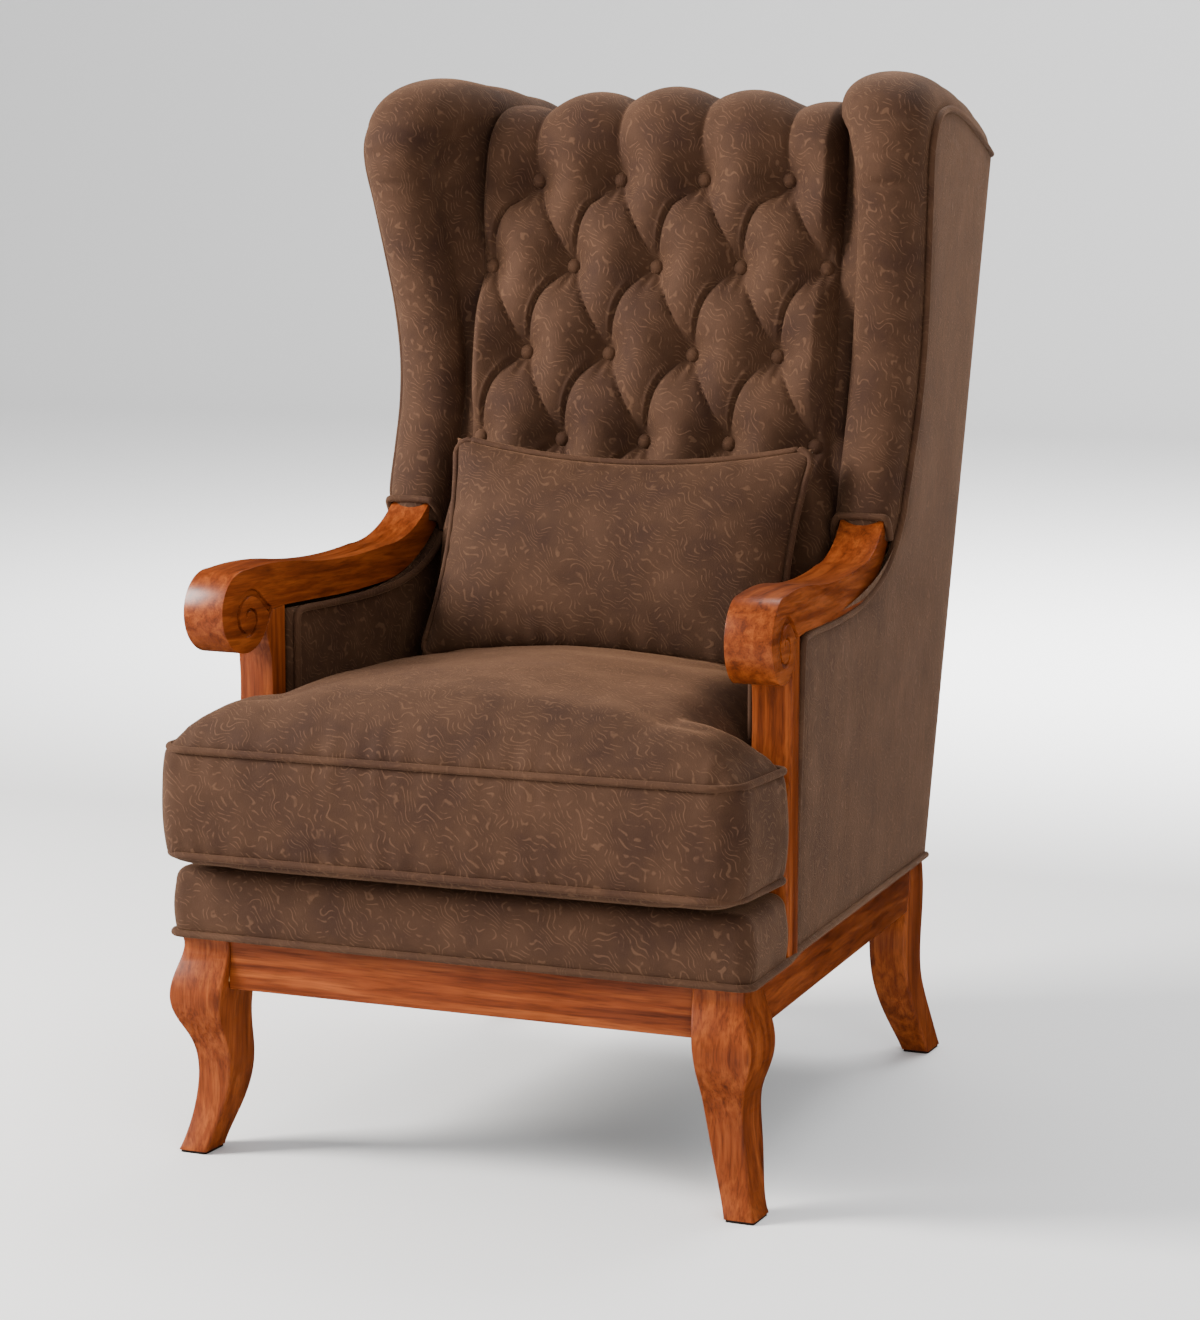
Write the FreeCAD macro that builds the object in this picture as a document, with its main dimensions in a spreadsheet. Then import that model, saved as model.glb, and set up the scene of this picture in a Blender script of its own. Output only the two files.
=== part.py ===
import FreeCAD, Part
import math
import os
from FreeCAD import Placement, Rotation, Vector

# Wing chair, millimetres. X to the right as seen from the front, Y towards the back, Z up.
# It is drawn about the middle of the frame and written out centred over its own floor box.

SIZES = {
    "front_half_width": (325, "half width over the front legs at the rail"),
    "back_half_width": (272.5, "half width over the back legs at the rail"),
    "frame_front": (425, "front face of the front legs, ahead of the origin"),
    "frame_back": (306, "back face of the chair at the rail, behind the origin"),
    "rail_top": (243, "top of the show rails"),
    "rail_height": (56, "show rail height"),
    "rail_thickness": (25, "show rail thickness"),
    "rail_recess": (6, "show rails behind the legs' faces"),
    "front_leg_top": (56, "front leg, square top"),
    "back_leg_top": (54, "back leg, square top"),
    "leg_edge": (3, "rounding of the legs' edges"),
    "glide_height": (3, "pads under the feet"),
    "back_lean": (9.8, "lean of the outside back, degrees"),
    "back_flare": (1.75, "widening of the outside back, degrees"),
    "side_top": (1123, "highest point of the outside side panel"),
    "side_back_top": (1077, "top of the side panel at the back edge"),
    "wing_top": (1165, "top of the wing rolls"),
    "back_top": (1150, "top of the inside back, in the middle"),
    "back_arch": (24, "fall of the inside back's top towards its sides"),
    "panel_thickness": (6, "outside panels"),
    "piping_radius": (4, "covered cord round the edges"),
    "arm_width": (50, "show arm, across"),
    "arm_inside": (36, "inner face of the arms and posts, inside the frame's side"),
    "arm_height": (625, "flat top of the arm"),
    "arm_thickness": (41, "arm, top to underside"),
    "scroll_radius": (45, "arm scroll"),
    "scroll_setback": (82.5, "scroll centre behind the frame's front"),
    "scroll_drop": (41, "scroll centre below the arm's top"),
    "collar_setback": (469, "where the arm enters the wing, behind the frame's front"),
    "collar_rise": (45, "climb of the arm from its flat to the wing"),
    "volute_depth": (4, "carved groove in the scroll's faces"),
    "post_width": (44, "arm post, across"),
    "post_back": (160, "back of the post, behind the frame's front"),
    "deck_top": (318, "top of the upholstered deck"),
    "deck_proud": (5, "deck ahead of the legs"),
    "deck_skin": (9, "padding of the deck's front and sides"),
    "deck_pad": (14, "padding on the springs"),
    "spring_rail_thickness": (24, "inner seat rails"),
    "spring_rail_top": (286, "top of the inner seat rails"),
    "spring_wire": (3.6, "zigzag spring wire"),
    "spring_count": (5, "zigzag springs"),
    "arm_pad_thickness": (26, "inside arm padding"),
    "arm_pad_proud": (9, "inside arm padding inside the arm's face"),
    "cushion_proud": (36, "seat cushion ahead of the front legs"),
    "ear_proud": (5, "seat cushion's ears outside the front legs"),
    "cushion_belly": (19, "lower seam of the seat cushion above the deck"),
    "cushion_border": (113, "seat cushion's border, seam to seam"),
    "cushion_crown": (82, "rise of the seat cushion above its upper seam"),
    "cushion_corner": (34, "front corner radius of the seat cushion"),
    "cover_wall": (2, "cushion covers"),
    "tuft_pitch": (104.2, "buttons across"),
    "tuft_rise": (101, "button rows, up the slope"),
    "tuft_rows": (5, "rows of buttons"),
    "tuft_depth": (30, "how deep the buttons pull in"),
    "tuft_lean": (10, "lean of the inside back, degrees"),
    "button_plane": (41, "plane of the buttons, ahead of the origin, square to it"),
    "top_row": (1054, "highest button row, up the slope"),
    "button_diameter": (18, "covered buttons"),
    "tuft_margin": (12.6, "inside back beyond its outer buttons"),
    "back_pad": (78, "thickness of the inside back padding"),
    "pillow_width": (440, "lumbar pillow over its corners"),
    "pillow_height": (264, "lumbar pillow, corner to corner"),
    "pillow_thickness": (96, "lumbar pillow, middle"),
    "pillow_draw": (26, "drawn-in edges of the pillow"),
    "pillow_lean": (22, "lean of the pillow, degrees"),
    "soft_gap": (0.3, "clearance of the loose cushions"),
    "cord_gap": (0.2, "clearance between a cord and the panel beside it"),
    "core_gap": (0.5, "clearance of the cushions' cores in their covers"),
}

doc = FreeCAD.newDocument("wing_chair")
sheet = doc.addObject("Spreadsheet::Sheet", "Sizes")
for row, (alias, (value, note)) in enumerate(SIZES.items(), 1):
    sheet.set(f"A{row}", note)
    sheet.set(f"B{row}", str(value))
    sheet.setAlias(f"B{row}", alias)
doc.recompute()
mm = {alias: float(sheet.get(alias)) for alias in SIZES}
parts = {}

TAPER = math.degrees(math.atan((mm["front_half_width"] - mm["back_half_width"])
                               / (mm["frame_front"] + mm["frame_back"])))
FRONT_Y = -mm["frame_front"]
scroll_z = mm["arm_height"] - mm["scroll_drop"]
inside_half = 2 * mm["tuft_pitch"] + mm["tuft_margin"]
cushion_front_y = FRONT_Y - mm["cushion_proud"]
ear_half = mm["front_half_width"] + mm["ear_proud"]
low_seam = mm["deck_top"] + mm["cushion_belly"]
high_seam = low_seam + mm["cushion_border"]
LEAN = math.tan(math.radians(mm["back_lean"]))
FLARE = math.tan(math.radians(mm["back_flare"]))
side_frame = Placement(Vector(mm["front_half_width"], FRONT_Y, 0), Rotation(Vector(0, 0, 1), TAPER))
level = Placement()


def keep(label, thing):
    thing.Label = label
    parts[label] = thing
    return thing


def shaped(label, shape, placement=level):
    """A sub-part whose shape is worked out here."""
    thing = doc.addObject("Part::Feature", label)
    thing.Shape = shape
    thing.Placement = placement.multiply(shape.Placement)
    return keep(label, thing)


def mirrored(label, source):
    thing = doc.addObject("Part::Mirroring", label)
    thing.Source = source
    thing.Normal = Vector(1, 0, 0)
    return keep(label, thing)


def pair(name, make):
    """A right-hand piece and its mirror image."""
    right = make(name + "_right")
    mirrored(name + "_left", right)
    doc.recompute()
    return right


def board(label, length, width, height, placement):
    """A plain board whose three sizes are bound to the sheet."""
    box = doc.addObject("Part::Box", label)
    for side, formula in (("Length", length), ("Width", width), ("Height", height)):
        box.setExpression(side, formula)
    box.Placement = placement
    return box


def cut(label, base, *tools):
    """base less each of the tools."""
    for number, tool in enumerate(tools, 1):
        step = doc.addObject("Part::Cut", f"{label}_cut{number}")
        step.Base = base
        step.Tool = tool
        base = step
    return keep(label, base)


def edges(points, closed=True):
    """Lines and arcs: a point is a line's end, a pair of points an arc's middle and end."""
    made = []
    start = points[0]
    for step in list(points[1:]) + ([points[0]] if closed else []):
        if isinstance(step, tuple):
            middle, end = step
            made.append(Part.Arc(start, middle, end))
        else:
            end = step
            made.append(Part.LineSegment(start, end))
        start = end
    return made


def face(points):
    return Part.Face(Part.Wire([edge.toShape() for edge in edges(points)]))


def flat(*pairs):
    """Sketch points from number pairs; a pair of pairs is an arc's middle and end."""
    made = []
    for item in pairs:
        if isinstance(item[0], tuple):
            made.append((Vector(item[0][0], item[0][1], 0), Vector(item[1][0], item[1][1], 0)))
        else:
            made.append(Vector(item[0], item[1], 0))
    return made


def upright(points, x=0):
    """Sketch points stood up in the plane across the chair's side, at x."""
    def stand(point):
        return Vector(x, point.x, point.y)
    return [tuple(map(stand, step)) if isinstance(step, tuple) else stand(step) for step in points]


def padded_body(label, plane, points, length, placement, offset=0):
    """A body with one sketch, padded by a sheet size."""
    body = doc.addObject("PartDesign::Body", label)
    origin = [item for item in body.Origin.OriginFeatures if item.Role == plane][0]
    sketch = body.newObject("Sketcher::SketchObject", label + "_outline")
    sketch.AttachmentSupport = (origin, "")
    sketch.MapMode = "FlatFace"
    sketch.AttachmentOffset = Placement(Vector(0, 0, offset), Rotation())
    sketch.addGeometry(edges(points), False)
    pad = body.newObject("PartDesign::Pad", label + "_pad")
    pad.Profile = sketch
    pad.setExpression("Length", length)
    doc.recompute()
    body.Placement = placement
    return body


def rounded_rectangle(x0, x1, y0, y1, z, radius):
    """A closed wire with rounded corners, level at z."""
    k = radius * (1 - math.sqrt(0.5))
    spots = [
        Vector(x0 + radius, y0, z), Vector(x1 - radius, y0, z),
        (Vector(x1 - k, y0 + k, z), Vector(x1, y0 + radius, z)), Vector(x1, y1 - radius, z),
        (Vector(x1 - k, y1 - k, z), Vector(x1 - radius, y1, z)), Vector(x0 + radius, y1, z),
        (Vector(x0 + k, y1 - k, z), Vector(x0, y1 - radius, z)), Vector(x0, y0 + radius, z),
        (Vector(x0 + k, y0 + k, z), Vector(x0 + radius, y0, z)),
    ]
    made = edges(spots, closed=False)
    return Part.Wire([edge.toShape() for edge in made])


def smooth_path(points, closed=False, cap=1e6):
    """Straight runs joined by tangent arcs that start no further than cap from each corner."""
    count = len(points)
    corners = range(count) if closed else range(1, count - 1)
    bends = {}
    for i in corners:
        before, here, after = points[i - 1], points[i], points[(i + 1) % count]
        back, ahead = before - here, after - here
        reach = min(cap, 0.45 * min(back.Length, ahead.Length))
        back.normalize()
        ahead.normalize()
        half = back.getAngle(ahead) / 2
        start, end = here + back * reach, here + ahead * reach
        inward = back + ahead
        if inward.Length < 1e-6:
            continue
        inward.normalize()
        radius = reach * math.tan(half)
        middle = here + inward * (reach / math.cos(half) - radius)
        bends[i] = (start, middle, end)
    made = []
    last = bends[count - 1][2] if closed else points[0]
    for i in range(count) if closed else range(1, count):
        if i in bends:
            start, middle, end = bends[i]
            made.append(Part.LineSegment(last, start).toShape())
            made.append(Part.Arc(start, middle, end).toShape())
            last = end
        else:
            made.append(Part.LineSegment(last, points[i]).toShape())
            last = points[i]
    return Part.Wire(made)


def cord(points, radius, closed=False, cap=1e6):
    """Round cord along a path."""
    path = smooth_path(points, closed, cap)
    first = path.Edges[0]
    section = Part.Wire(Part.makeCircle(radius, first.valueAt(first.FirstParameter),
                                        first.tangentAt(first.FirstParameter)))
    tube = path.makePipeShell([section], True, False)
    if tube.Volume < 0.97 * math.pi * radius ** 2 * path.Length:
        raise RuntimeError("a cord lost volume")
    return tube


def group(shapes):
    return Part.makeCompound(shapes)


# Heights and corners that the side and back share.

def back_plane(z):
    """Outer face of the back at a height."""
    return mm["frame_back"] + LEAN * (z - mm["rail_top"])


def back_half(z):
    """Half width of the outside back at a height."""
    return mm["back_half_width"] + FLARE * (z - mm["rail_top"])


def side_slope(z):
    """How fast the side widens towards the front, at a height."""
    low = math.tan(math.radians(TAPER))
    stations = ((mm["rail_top"], low), (scroll_z, low - 0.008),
                (mm["arm_height"] + 55, low + 0.034), (mm["side_top"], low + 0.061))
    if z <= stations[0][0]:
        return stations[0][1]
    for (z0, k0), (z1, k1) in zip(stations, stations[1:]):
        if z <= z1:
            return k0 + (k1 - k0) * (z - z0) / (z1 - z0)
    return stations[-1][1]


def side_face(y, z):
    """Outer face of the side at a place."""
    return back_half(z) + side_slope(z) * (back_plane(z) - y)


def side_slab(outer, inner):
    """The side's twisted slab between two depths under its face."""
    heights = (mm["rail_top"], scroll_z, mm["arm_height"] + 55, mm["side_top"] + 30)
    wires = []
    for z in heights:
        front, back = FRONT_Y - 10, back_plane(z) + 12
        corners = [Vector(side_face(front, z) - outer, front, z), Vector(side_face(back, z) - outer, back, z),
                   Vector(side_face(back, z) - inner, back, z), Vector(side_face(front, z) - inner, front, z)]
        wires.append(Part.makePolygon(corners + [corners[0]]))
    return Part.makeLoft(wires, True, True)


def across(points, x0=150, x1=420):
    """Side-view outline points pushed through the side's thickness."""
    return face(upright(points, x0)).extrude(Vector(x1 - x0, 0, 0))


# Legs: each station is a share of the height, then how far the square section stands out past the
# rail's corner sideways and lengthways, its width and its depth.

FRONT_LEG = (
    (1.0, -1, 1, 0, 2),
    (0.79, 7, 8, 7, 18),
    (0.69, 8, 10, 5, 19),
    (0.535, -5, -6, -10, 6),
    (0.39, -9, -18, -16, 0),
    (0.205, -4, -18, -20, -6),
    (0.0, 9, -5, -22, -12),
)
BACK_LEG = (
    (1.0, -2, -3, 0, 2),
    (0.74, -1, 0, -6, 8),
    (0.576, -1.5, -4, -9, 9),
    (0.41, -0.5, -3, -9, 0),
    (0.255, 2.5, 12, -12, -1),
    (0.115, 5.5, 30, -16, -6),
    (0.0, 7.5, 47, -20, -8),
)


def leg(stations, corner_x, corner_y, facing, top):
    """A curved leg of square section; facing is -1 at the front and 1 at the back."""
    wires = []
    for share, out, ahead, wider, deeper in stations:
        z = mm["glide_height"] + share * (mm["rail_top"] - mm["glide_height"])
        x1 = corner_x + out
        y1 = corner_y + facing * ahead
        y0 = y1 - facing * (top + deeper)
        wires.append(rounded_rectangle(x1 - top - wider, x1, min(y0, y1), max(y0, y1), z, mm["leg_edge"]))
    return Part.makeLoft(wires, True)


def corner_bolt(start, direction):
    """A bolt into the leg with its washer and nut on the block."""
    shaft = Part.makeCylinder(4, 62, start, direction)
    washer = Part.makeCylinder(9, 2, start - direction * 2, direction)
    nut = Part.makeCylinder(6.5, 6, start - direction * 8, direction)
    return shaft.fuse([washer, nut]).removeSplitter()


front_leg_shape = leg(FRONT_LEG, mm["front_half_width"], FRONT_Y, -1, mm["front_leg_top"])
back_leg_shape = leg(BACK_LEG, mm["back_half_width"], mm["frame_back"], 1, mm["back_leg_top"])

# Show rails between the legs. The side rails follow the taper and are scribed to the legs.

rail_low = mm["rail_top"] - mm["rail_height"]
rail_inside = mm["rail_recess"] + mm["rail_thickness"]
front_gap = mm["front_half_width"] - 1 - mm["front_leg_top"]
back_gap = mm["back_half_width"] - 2 - mm["back_leg_top"]
side_length = (mm["frame_front"] + mm["frame_back"]) / math.cos(math.radians(TAPER))

front_rail_box = board(
    "front_rail_blank", "2 * (Sizes.front_half_width - 1 - Sizes.front_leg_top)", "Sizes.rail_thickness",
    "Sizes.rail_height", Placement(Vector(-front_gap, FRONT_Y + mm["rail_recess"], rail_low), Rotation()))
back_rail_box = board(
    "back_rail", "2 * (Sizes.back_half_width - 2 - Sizes.back_leg_top)", "Sizes.rail_thickness",
    "Sizes.rail_height", Placement(Vector(-back_gap, mm["frame_back"] - rail_inside, rail_low), Rotation()))
keep("back_rail", back_rail_box)
doc.recompute()

side_rail_shape = Part.makeBox(mm["rail_thickness"], side_length - 20, mm["rail_height"],
                               Vector(-rail_inside, 10, rail_low))
side_rail_shape.Placement = side_frame
side_rail_shape = side_rail_shape.cut([front_leg_shape, back_leg_shape])
side_rail_shape = max(side_rail_shape.Solids, key=lambda solid: solid.Volume)

bolt_height = rail_low + mm["rail_height"] / 2
front_corner = Vector(mm["front_half_width"], FRONT_Y, 0)
back_corner = Vector(mm["back_half_width"], mm["frame_back"], 0)


def corner_block(corner, facing):
    """A glued block behind a leg, scribed to the rails and the leg."""
    low, high, arm = rail_low + 8, mm["rail_top"] - 8, 122
    spots = [corner + Vector(-6, facing * -6, low), corner + Vector(-6 - arm, facing * -6, low),
             corner + Vector(-6, facing * (-6 - arm), low)]
    block = Part.Face(Part.makePolygon(spots + [spots[0]])).extrude(Vector(0, 0, high - low))
    rails = [side_rail_shape, front_rail_box.Shape, back_rail_box.Shape]
    outside = Part.makeBox(rail_inside, 2 * side_length, mm["rail_top"], Vector(-rail_inside, -200, 0))
    outside.Placement = side_frame
    legs = [front_leg_shape, back_leg_shape]
    return max(block.cut(rails + legs + [outside]).Solids, key=lambda solid: solid.Volume)


def bolt_at(corner, facing):
    direction = Vector(1, facing, 0)
    direction.normalize()
    face_point = corner + Vector(-6 - 61, facing * (-6 - 61), bolt_height)
    return corner_bolt(face_point, direction)


front_bolt = bolt_at(front_corner, -1)
back_bolt = bolt_at(back_corner, 1)
front_block = corner_block(front_corner, -1).cut(front_bolt)
back_block = corner_block(back_corner, 1).cut(back_bolt)

front_leg_right = pair("front_leg", lambda label: shaped(label, front_leg_shape.cut(front_bolt)))
cut("front_rail", front_rail_box, front_leg_right, parts["front_leg_left"])
pair("back_leg", lambda label: shaped(label, back_leg_shape.cut(back_bolt)))
pair("side_rail", lambda label: shaped(label, side_rail_shape.cut([front_bolt, back_bolt])))


def both_sides(shapes):
    return shapes + [shape.mirror(Vector(), Vector(1, 0, 0)) for shape in shapes]


shaped("corner_blocks", group(both_sides([front_block, back_block])))
shaped("leg_bolts", group(both_sides([front_bolt, back_bolt])))


def glide(stations, corner, facing, top):
    share, out, ahead, wider, deeper = stations[-1]
    x1 = corner.x + out - 1.5
    y1 = corner.y + facing * (ahead - 1.5)
    y0 = y1 - facing * (top + deeper - 3)
    wire = rounded_rectangle(x1 - top - wider + 3, x1, min(y0, y1), max(y0, y1), 0, mm["leg_edge"])
    return Part.Face(wire).extrude(Vector(0, 0, mm["glide_height"]))


shaped("foot_glides", group(both_sides([
    glide(FRONT_LEG, front_corner, -1, mm["front_leg_top"]),
    glide(BACK_LEG, back_corner, 1, mm["back_leg_top"])])))

# Arm and post, in the side's own frame: along the side, then up.

scroll_y, scroll_r = mm["scroll_setback"], mm["scroll_radius"]
arm_top, arm_low = mm["arm_height"], mm["arm_height"] - mm["arm_thickness"]
collar_y, collar_z = mm["collar_setback"], mm["arm_height"] + mm["collar_rise"]


def on_scroll(degrees, radius=scroll_r):
    turn = math.radians(degrees)
    return (scroll_y + radius * math.cos(turn), scroll_z + radius * math.sin(turn))


def arm_underside(drop):
    """The arm's lower edge from the scroll back to the collar, lowered by drop."""
    return [(scroll_y + scroll_r + 30, arm_low - drop), (230, arm_low - drop),
            ((300, arm_low + 0.6 - drop), (356, arm_low + 4 - drop)),
            ((434 + drop * 0.5, arm_low + 23 - drop * 0.9), (collar_y + 18 + drop, collar_z - 25))]


arm_outline = flat(
    (collar_y + 36, collar_z + 38), (collar_y, collar_z),
    ((collar_y - 38, collar_z - 27), (collar_y - 98, arm_top + 5)),
    ((collar_y - 170, arm_top - 0.6), (collar_y - 262, arm_top + 2.5)),
    ((collar_y - 325, arm_top + 7), on_scroll(88)),
    (on_scroll(180), on_scroll(265)),
    (on_scroll(310), on_scroll(-4)),
    *arm_underside(0),
    (collar_y + 52, collar_z + 24))

VOLUTE_TURNS = ((20, 36, 8.5), (70, 29, 8), (120, 23, 7), (180, 19, 6), (250, 18, 5),
                (310, 17.5, 4.5), (375, 15.5, 4), (440, 9, 3.5), (500, 4, 3))


def volute():
    """The carved groove: a band that winds in from the throat and narrows."""
    def spot(turn, radius):
        return Vector(scroll_y + 5 + radius * math.cos(math.radians(turn)),
                      scroll_z - 8 + radius * math.sin(math.radians(turn)), 0)
    mouth = Vector(scroll_y + scroll_r + 6, scroll_z + 1, 0)
    outer = [spot(turn, radius + width / 2) for turn, radius, width in VOLUTE_TURNS]
    inner = [spot(turn, radius - width / 2) for turn, radius, width in VOLUTE_TURNS]
    curve = Part.BSplineCurve()
    curve.interpolate([mouth] + outer)
    back = Part.BSplineCurve()
    back.interpolate([inner[-1]] + inner[-2::-1] + [mouth - Vector(1, 9, 0)])
    ends = [Part.LineSegment(outer[-1], inner[-1]), Part.LineSegment(mouth - Vector(1, 9, 0), mouth)]
    wire = Part.Wire([curve.toShape(), ends[0].toShape(), back.toShape(), ends[1].toShape()])
    return Part.Face(wire)


def make_arm(label):
    body = padded_body(label + "_body", "YZ_Plane", arm_outline, "Sizes.arm_width", side_frame,
                       -mm["arm_inside"])
    stand = Placement(Vector(), Rotation(Vector(1, 1, 1), 120))
    grooves = []
    for side, reach in ((-mm["arm_inside"] - 1, mm["volute_depth"] + 1),
                        (mm["arm_width"] - mm["arm_inside"] - mm["volute_depth"], mm["volute_depth"] + 1)):
        band = volute()
        band.Placement = stand
        band.translate(Vector(side, 0, 0))
        groove = band.extrude(Vector(reach, 0, 0))
        groove.Placement = side_frame.multiply(groove.Placement)
        grooves.append(groove)
    return shaped(label, body.Shape.cut(grooves))


arm_right = pair("arm", make_arm)

post_top = arm_low
post_outline = flat(
    (mm["post_back"], mm["rail_top"]), (mm["post_back"], post_top), (137, post_top),
    (on_scroll(-30, scroll_r + 0.3)), (132.5, post_top - 54),
    ((134, post_top - 106), (121, post_top - 170)), ((115, post_top - 218), (121.5, post_top - 272)),
    (127, mm["rail_top"]))


def make_post(label):
    body = padded_body(label + "_body", "YZ_Plane", post_outline, "Sizes.post_width", side_frame,
                       -mm["arm_inside"])
    return cut(label, body, arm_right)


post_right = pair("arm_post", make_post)

# Inner seat frame, on top of the show rails.

skin, spring_top = mm["deck_skin"], mm["spring_rail_top"]
spring_rail_width = mm["spring_rail_thickness"]
inside_lean = Placement(Vector(), Rotation(Vector(1, 0, 0), -mm["tuft_lean"]))
LEAN_IN = math.tan(math.radians(mm["tuft_lean"]))
pad_front = -mm["button_plane"] - mm["tuft_depth"]
pad_rear = pad_front + mm["back_pad"]
webbing = 1.5


def inside_y(depth, z):
    """Y of a plane parallel to the inside back, at a height."""
    return depth / math.cos(math.radians(mm["tuft_lean"])) + LEAN_IN * z


def side_x(y, inset):
    """X of a line inside the frame's side."""
    return mm["front_half_width"] - (y - FRONT_Y) * math.tan(math.radians(TAPER)) - inset


back_spring_y = inside_y(pad_rear + webbing, spring_top)
front_spring_y = FRONT_Y + mm["rail_recess"]
front_spring_half = mm["front_half_width"] - 14
board_height = "Sizes.spring_rail_top - Sizes.rail_top"
keep("front_spring_rail", board(
    "front_spring_rail", "2 * (Sizes.front_half_width - 14)", "Sizes.spring_rail_thickness", board_height,
    Placement(Vector(-front_spring_half, front_spring_y, mm["rail_top"]), Rotation())))


def make_side_spring_rail(label):
    start, end = mm["post_back"], side_length - mm["back_leg_top"] - 8
    bar = Part.makeBox(spring_rail_width, end - start, spring_top - mm["rail_top"],
                       Vector(-mm["arm_inside"], start, mm["rail_top"]))
    bar.Placement = side_frame
    return shaped(label, bar)


side_spring_right = pair("side_spring_rail", make_side_spring_rail)
back_spring_half = side_x(back_spring_y, 0)
back_spring_box = board(
    "back_spring_rail_blank", "Sizes.front_half_width * 2", "Sizes.spring_rail_thickness", board_height,
    Placement(Vector(-mm["front_half_width"], back_spring_y, mm["rail_top"]), Rotation()))
side_waste = Part.makeBox(200, 2 * side_length, 100, Vector(-mm["arm_inside"], -100, mm["rail_top"] - 20))
side_waste.Placement = side_frame
doc.recompute()
shaped("back_spring_rail", back_spring_box.Shape.cut(both_sides([side_waste])))


def zigzag(x, y0, y1, z):
    """One flat spring from the front rail to the back one."""
    rungs, half = 22, 23
    step = (y1 - y0) / rungs
    points = []
    for rung in range(rungs + 1):
        side = half if rung % 2 else -half
        points += [Vector(x + side, y0 + rung * step, z), Vector(x - side, y0 + rung * step, z)]
    return cord(points, mm["spring_wire"] / 2)


spring_z = spring_top + mm["spring_wire"] / 2
spring_ends = (front_spring_y + 8, back_spring_y + spring_rail_width - 8)
spring_count = int(mm["spring_count"])
stile_width = 32
spring_pitch = (inside_half - stile_width - 30.4) / 2
spring_xs = [(i - (spring_count - 1) / 2) * spring_pitch for i in range(spring_count)]
shaped("seat_springs", group([zigzag(x, *spring_ends, spring_z) for x in spring_xs]))
clip_z = spring_top + mm["spring_wire"]
shaped("spring_clips", group([
    Part.makeBox(16, 12, 1.6, Vector(x - 8, y - 6, clip_z)) for x in spring_xs for y in spring_ends]))

# Frame of the inside back: two stiles and two rails leaning with the buttons, webbing on their front.

stile_depth, stile_top = 28, 1090
stile_outer = inside_half - 2
floor_waste = Part.makeBox(900, 900, spring_top, Vector(-450, -450, 0))


def leaning_box(width, depth, height, x, y, z):
    box = Part.makeBox(width, depth, height, Vector(x, y, z))
    box.Placement = inside_lean
    return box


def make_back_stile(label):
    bar = leaning_box(stile_width, stile_depth, stile_top - 200, stile_outer - stile_width,
                      pad_rear + webbing, 200)
    return shaped(label, bar.cut(floor_waste))


pair("back_stile", make_back_stile)
inner_half = stile_outer - stile_width
shaped("lower_back_rail", leaning_box(2 * inner_half, stile_depth, 60, -inner_half, pad_rear + webbing, 350))
shaped("back_webbing", group([
    leaning_box(2 * stile_outer, webbing, 50, -stile_outer, pad_rear, height)
    for height in (420, 560, 700, 840, 980)]))

# Rear posts carry the back legs' line up to the top of the outside back.

post_section, rear_top = 32, mm["side_back_top"] - 30
behind_back = Part.makeBox(900, 300, 1600, Vector(-450, -mm["panel_thickness"] - 0.3, -100))
behind_back.Placement = Placement(Vector(0, mm["frame_back"], mm["rail_top"]),
                                  Rotation(Vector(1, 0, 0), -mm["back_lean"]))


def make_rear_post(label):
    wires = []
    for z in (mm["rail_top"], rear_top):
        x1 = back_half(z) - mm["panel_thickness"] - 1
        y1 = back_plane(z) - mm["panel_thickness"] - 0.5
        low_y, low_x = y1 - post_section, x1 - post_section
        spots = [Vector(low_x, low_y, z), Vector(x1, low_y, z), Vector(x1, y1, z), Vector(low_x, y1, z)]
        wires.append(Part.makePolygon(spots + [spots[0]]))
    return shaped(label, Part.makeLoft(wires, True, True))


rear_post_right = pair("rear_post", make_rear_post)
rear_rail_low = rear_top - 60
rear_rail_half = back_half(rear_rail_low) - mm["panel_thickness"]
rear_rail = Part.makeBox(2 * rear_rail_half, 24, 60, Vector(-rear_rail_half, 0, rear_rail_low))
rear_rail.translate(Vector(0, back_plane(rear_rail_low) - mm["panel_thickness"] - post_section, 0))
rear_posts = both_sides([rear_post_right.Shape])
beyond_posts = both_sides([Part.makeBox(100, 900, 900, Vector(rear_rail_half - 15, -300, 600))])
shaped("rear_top_rail", rear_rail.cut(rear_posts + beyond_posts))

# Side view of the wing: its front edge, then over the top to the back corner.

WING_EDGE = ((600, 40), (680, 69), (760, 103), (840, 116), (920, 108), (1000, 85), (1080, 70))


def wing_front(z):
    """Y of the wing's front seam at a height."""
    for (z0, y0), (z1, y1) in zip(WING_EDGE, WING_EDGE[1:]):
        if z <= z1:
            return y0 + (y1 - y0) * (z - z0) / (z1 - z0)
    return WING_EDGE[-1][1] + (z - WING_EDGE[-1][0]) * 0.6


def wing_outline(inset, low):
    """Closed side outline of wing and back edge, drawn in by inset, from a height up."""
    top, back_top = mm["side_top"] - inset, mm["side_back_top"] - inset
    middle_z = (740 + low) / 2
    return flat(
        (wing_front(low) + inset, low), (wing_front(middle_z) + inset, middle_z),
        (wing_front(740) + inset, 740), ((116 + inset, 830), (wing_front(920) + inset, 920)),
        ((86 + inset, 1000), (71 + inset, 1070)),
        ((78 + inset * 0.8, top - 14), (112 + inset, top - 3)), ((150, top), (200, top - 2)),
        ((320, top - 17), (back_plane(back_top) - inset, back_top)), (back_plane(low) - inset, low))


def make_wing_frame(label):
    slab = side_slab(mm["panel_thickness"] + 0.3, mm["panel_thickness"] + 20)
    outline = across(wing_outline(32, 612))
    window = across(flat((185, 690), (300, 690), (352, 1030), (180, 1030)))
    plank = slab.common(outline).cut([window, arm_right.Shape, rear_post_right.Shape])
    return shaped(label, max(plank.Solids, key=lambda solid: solid.Volume))


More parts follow.
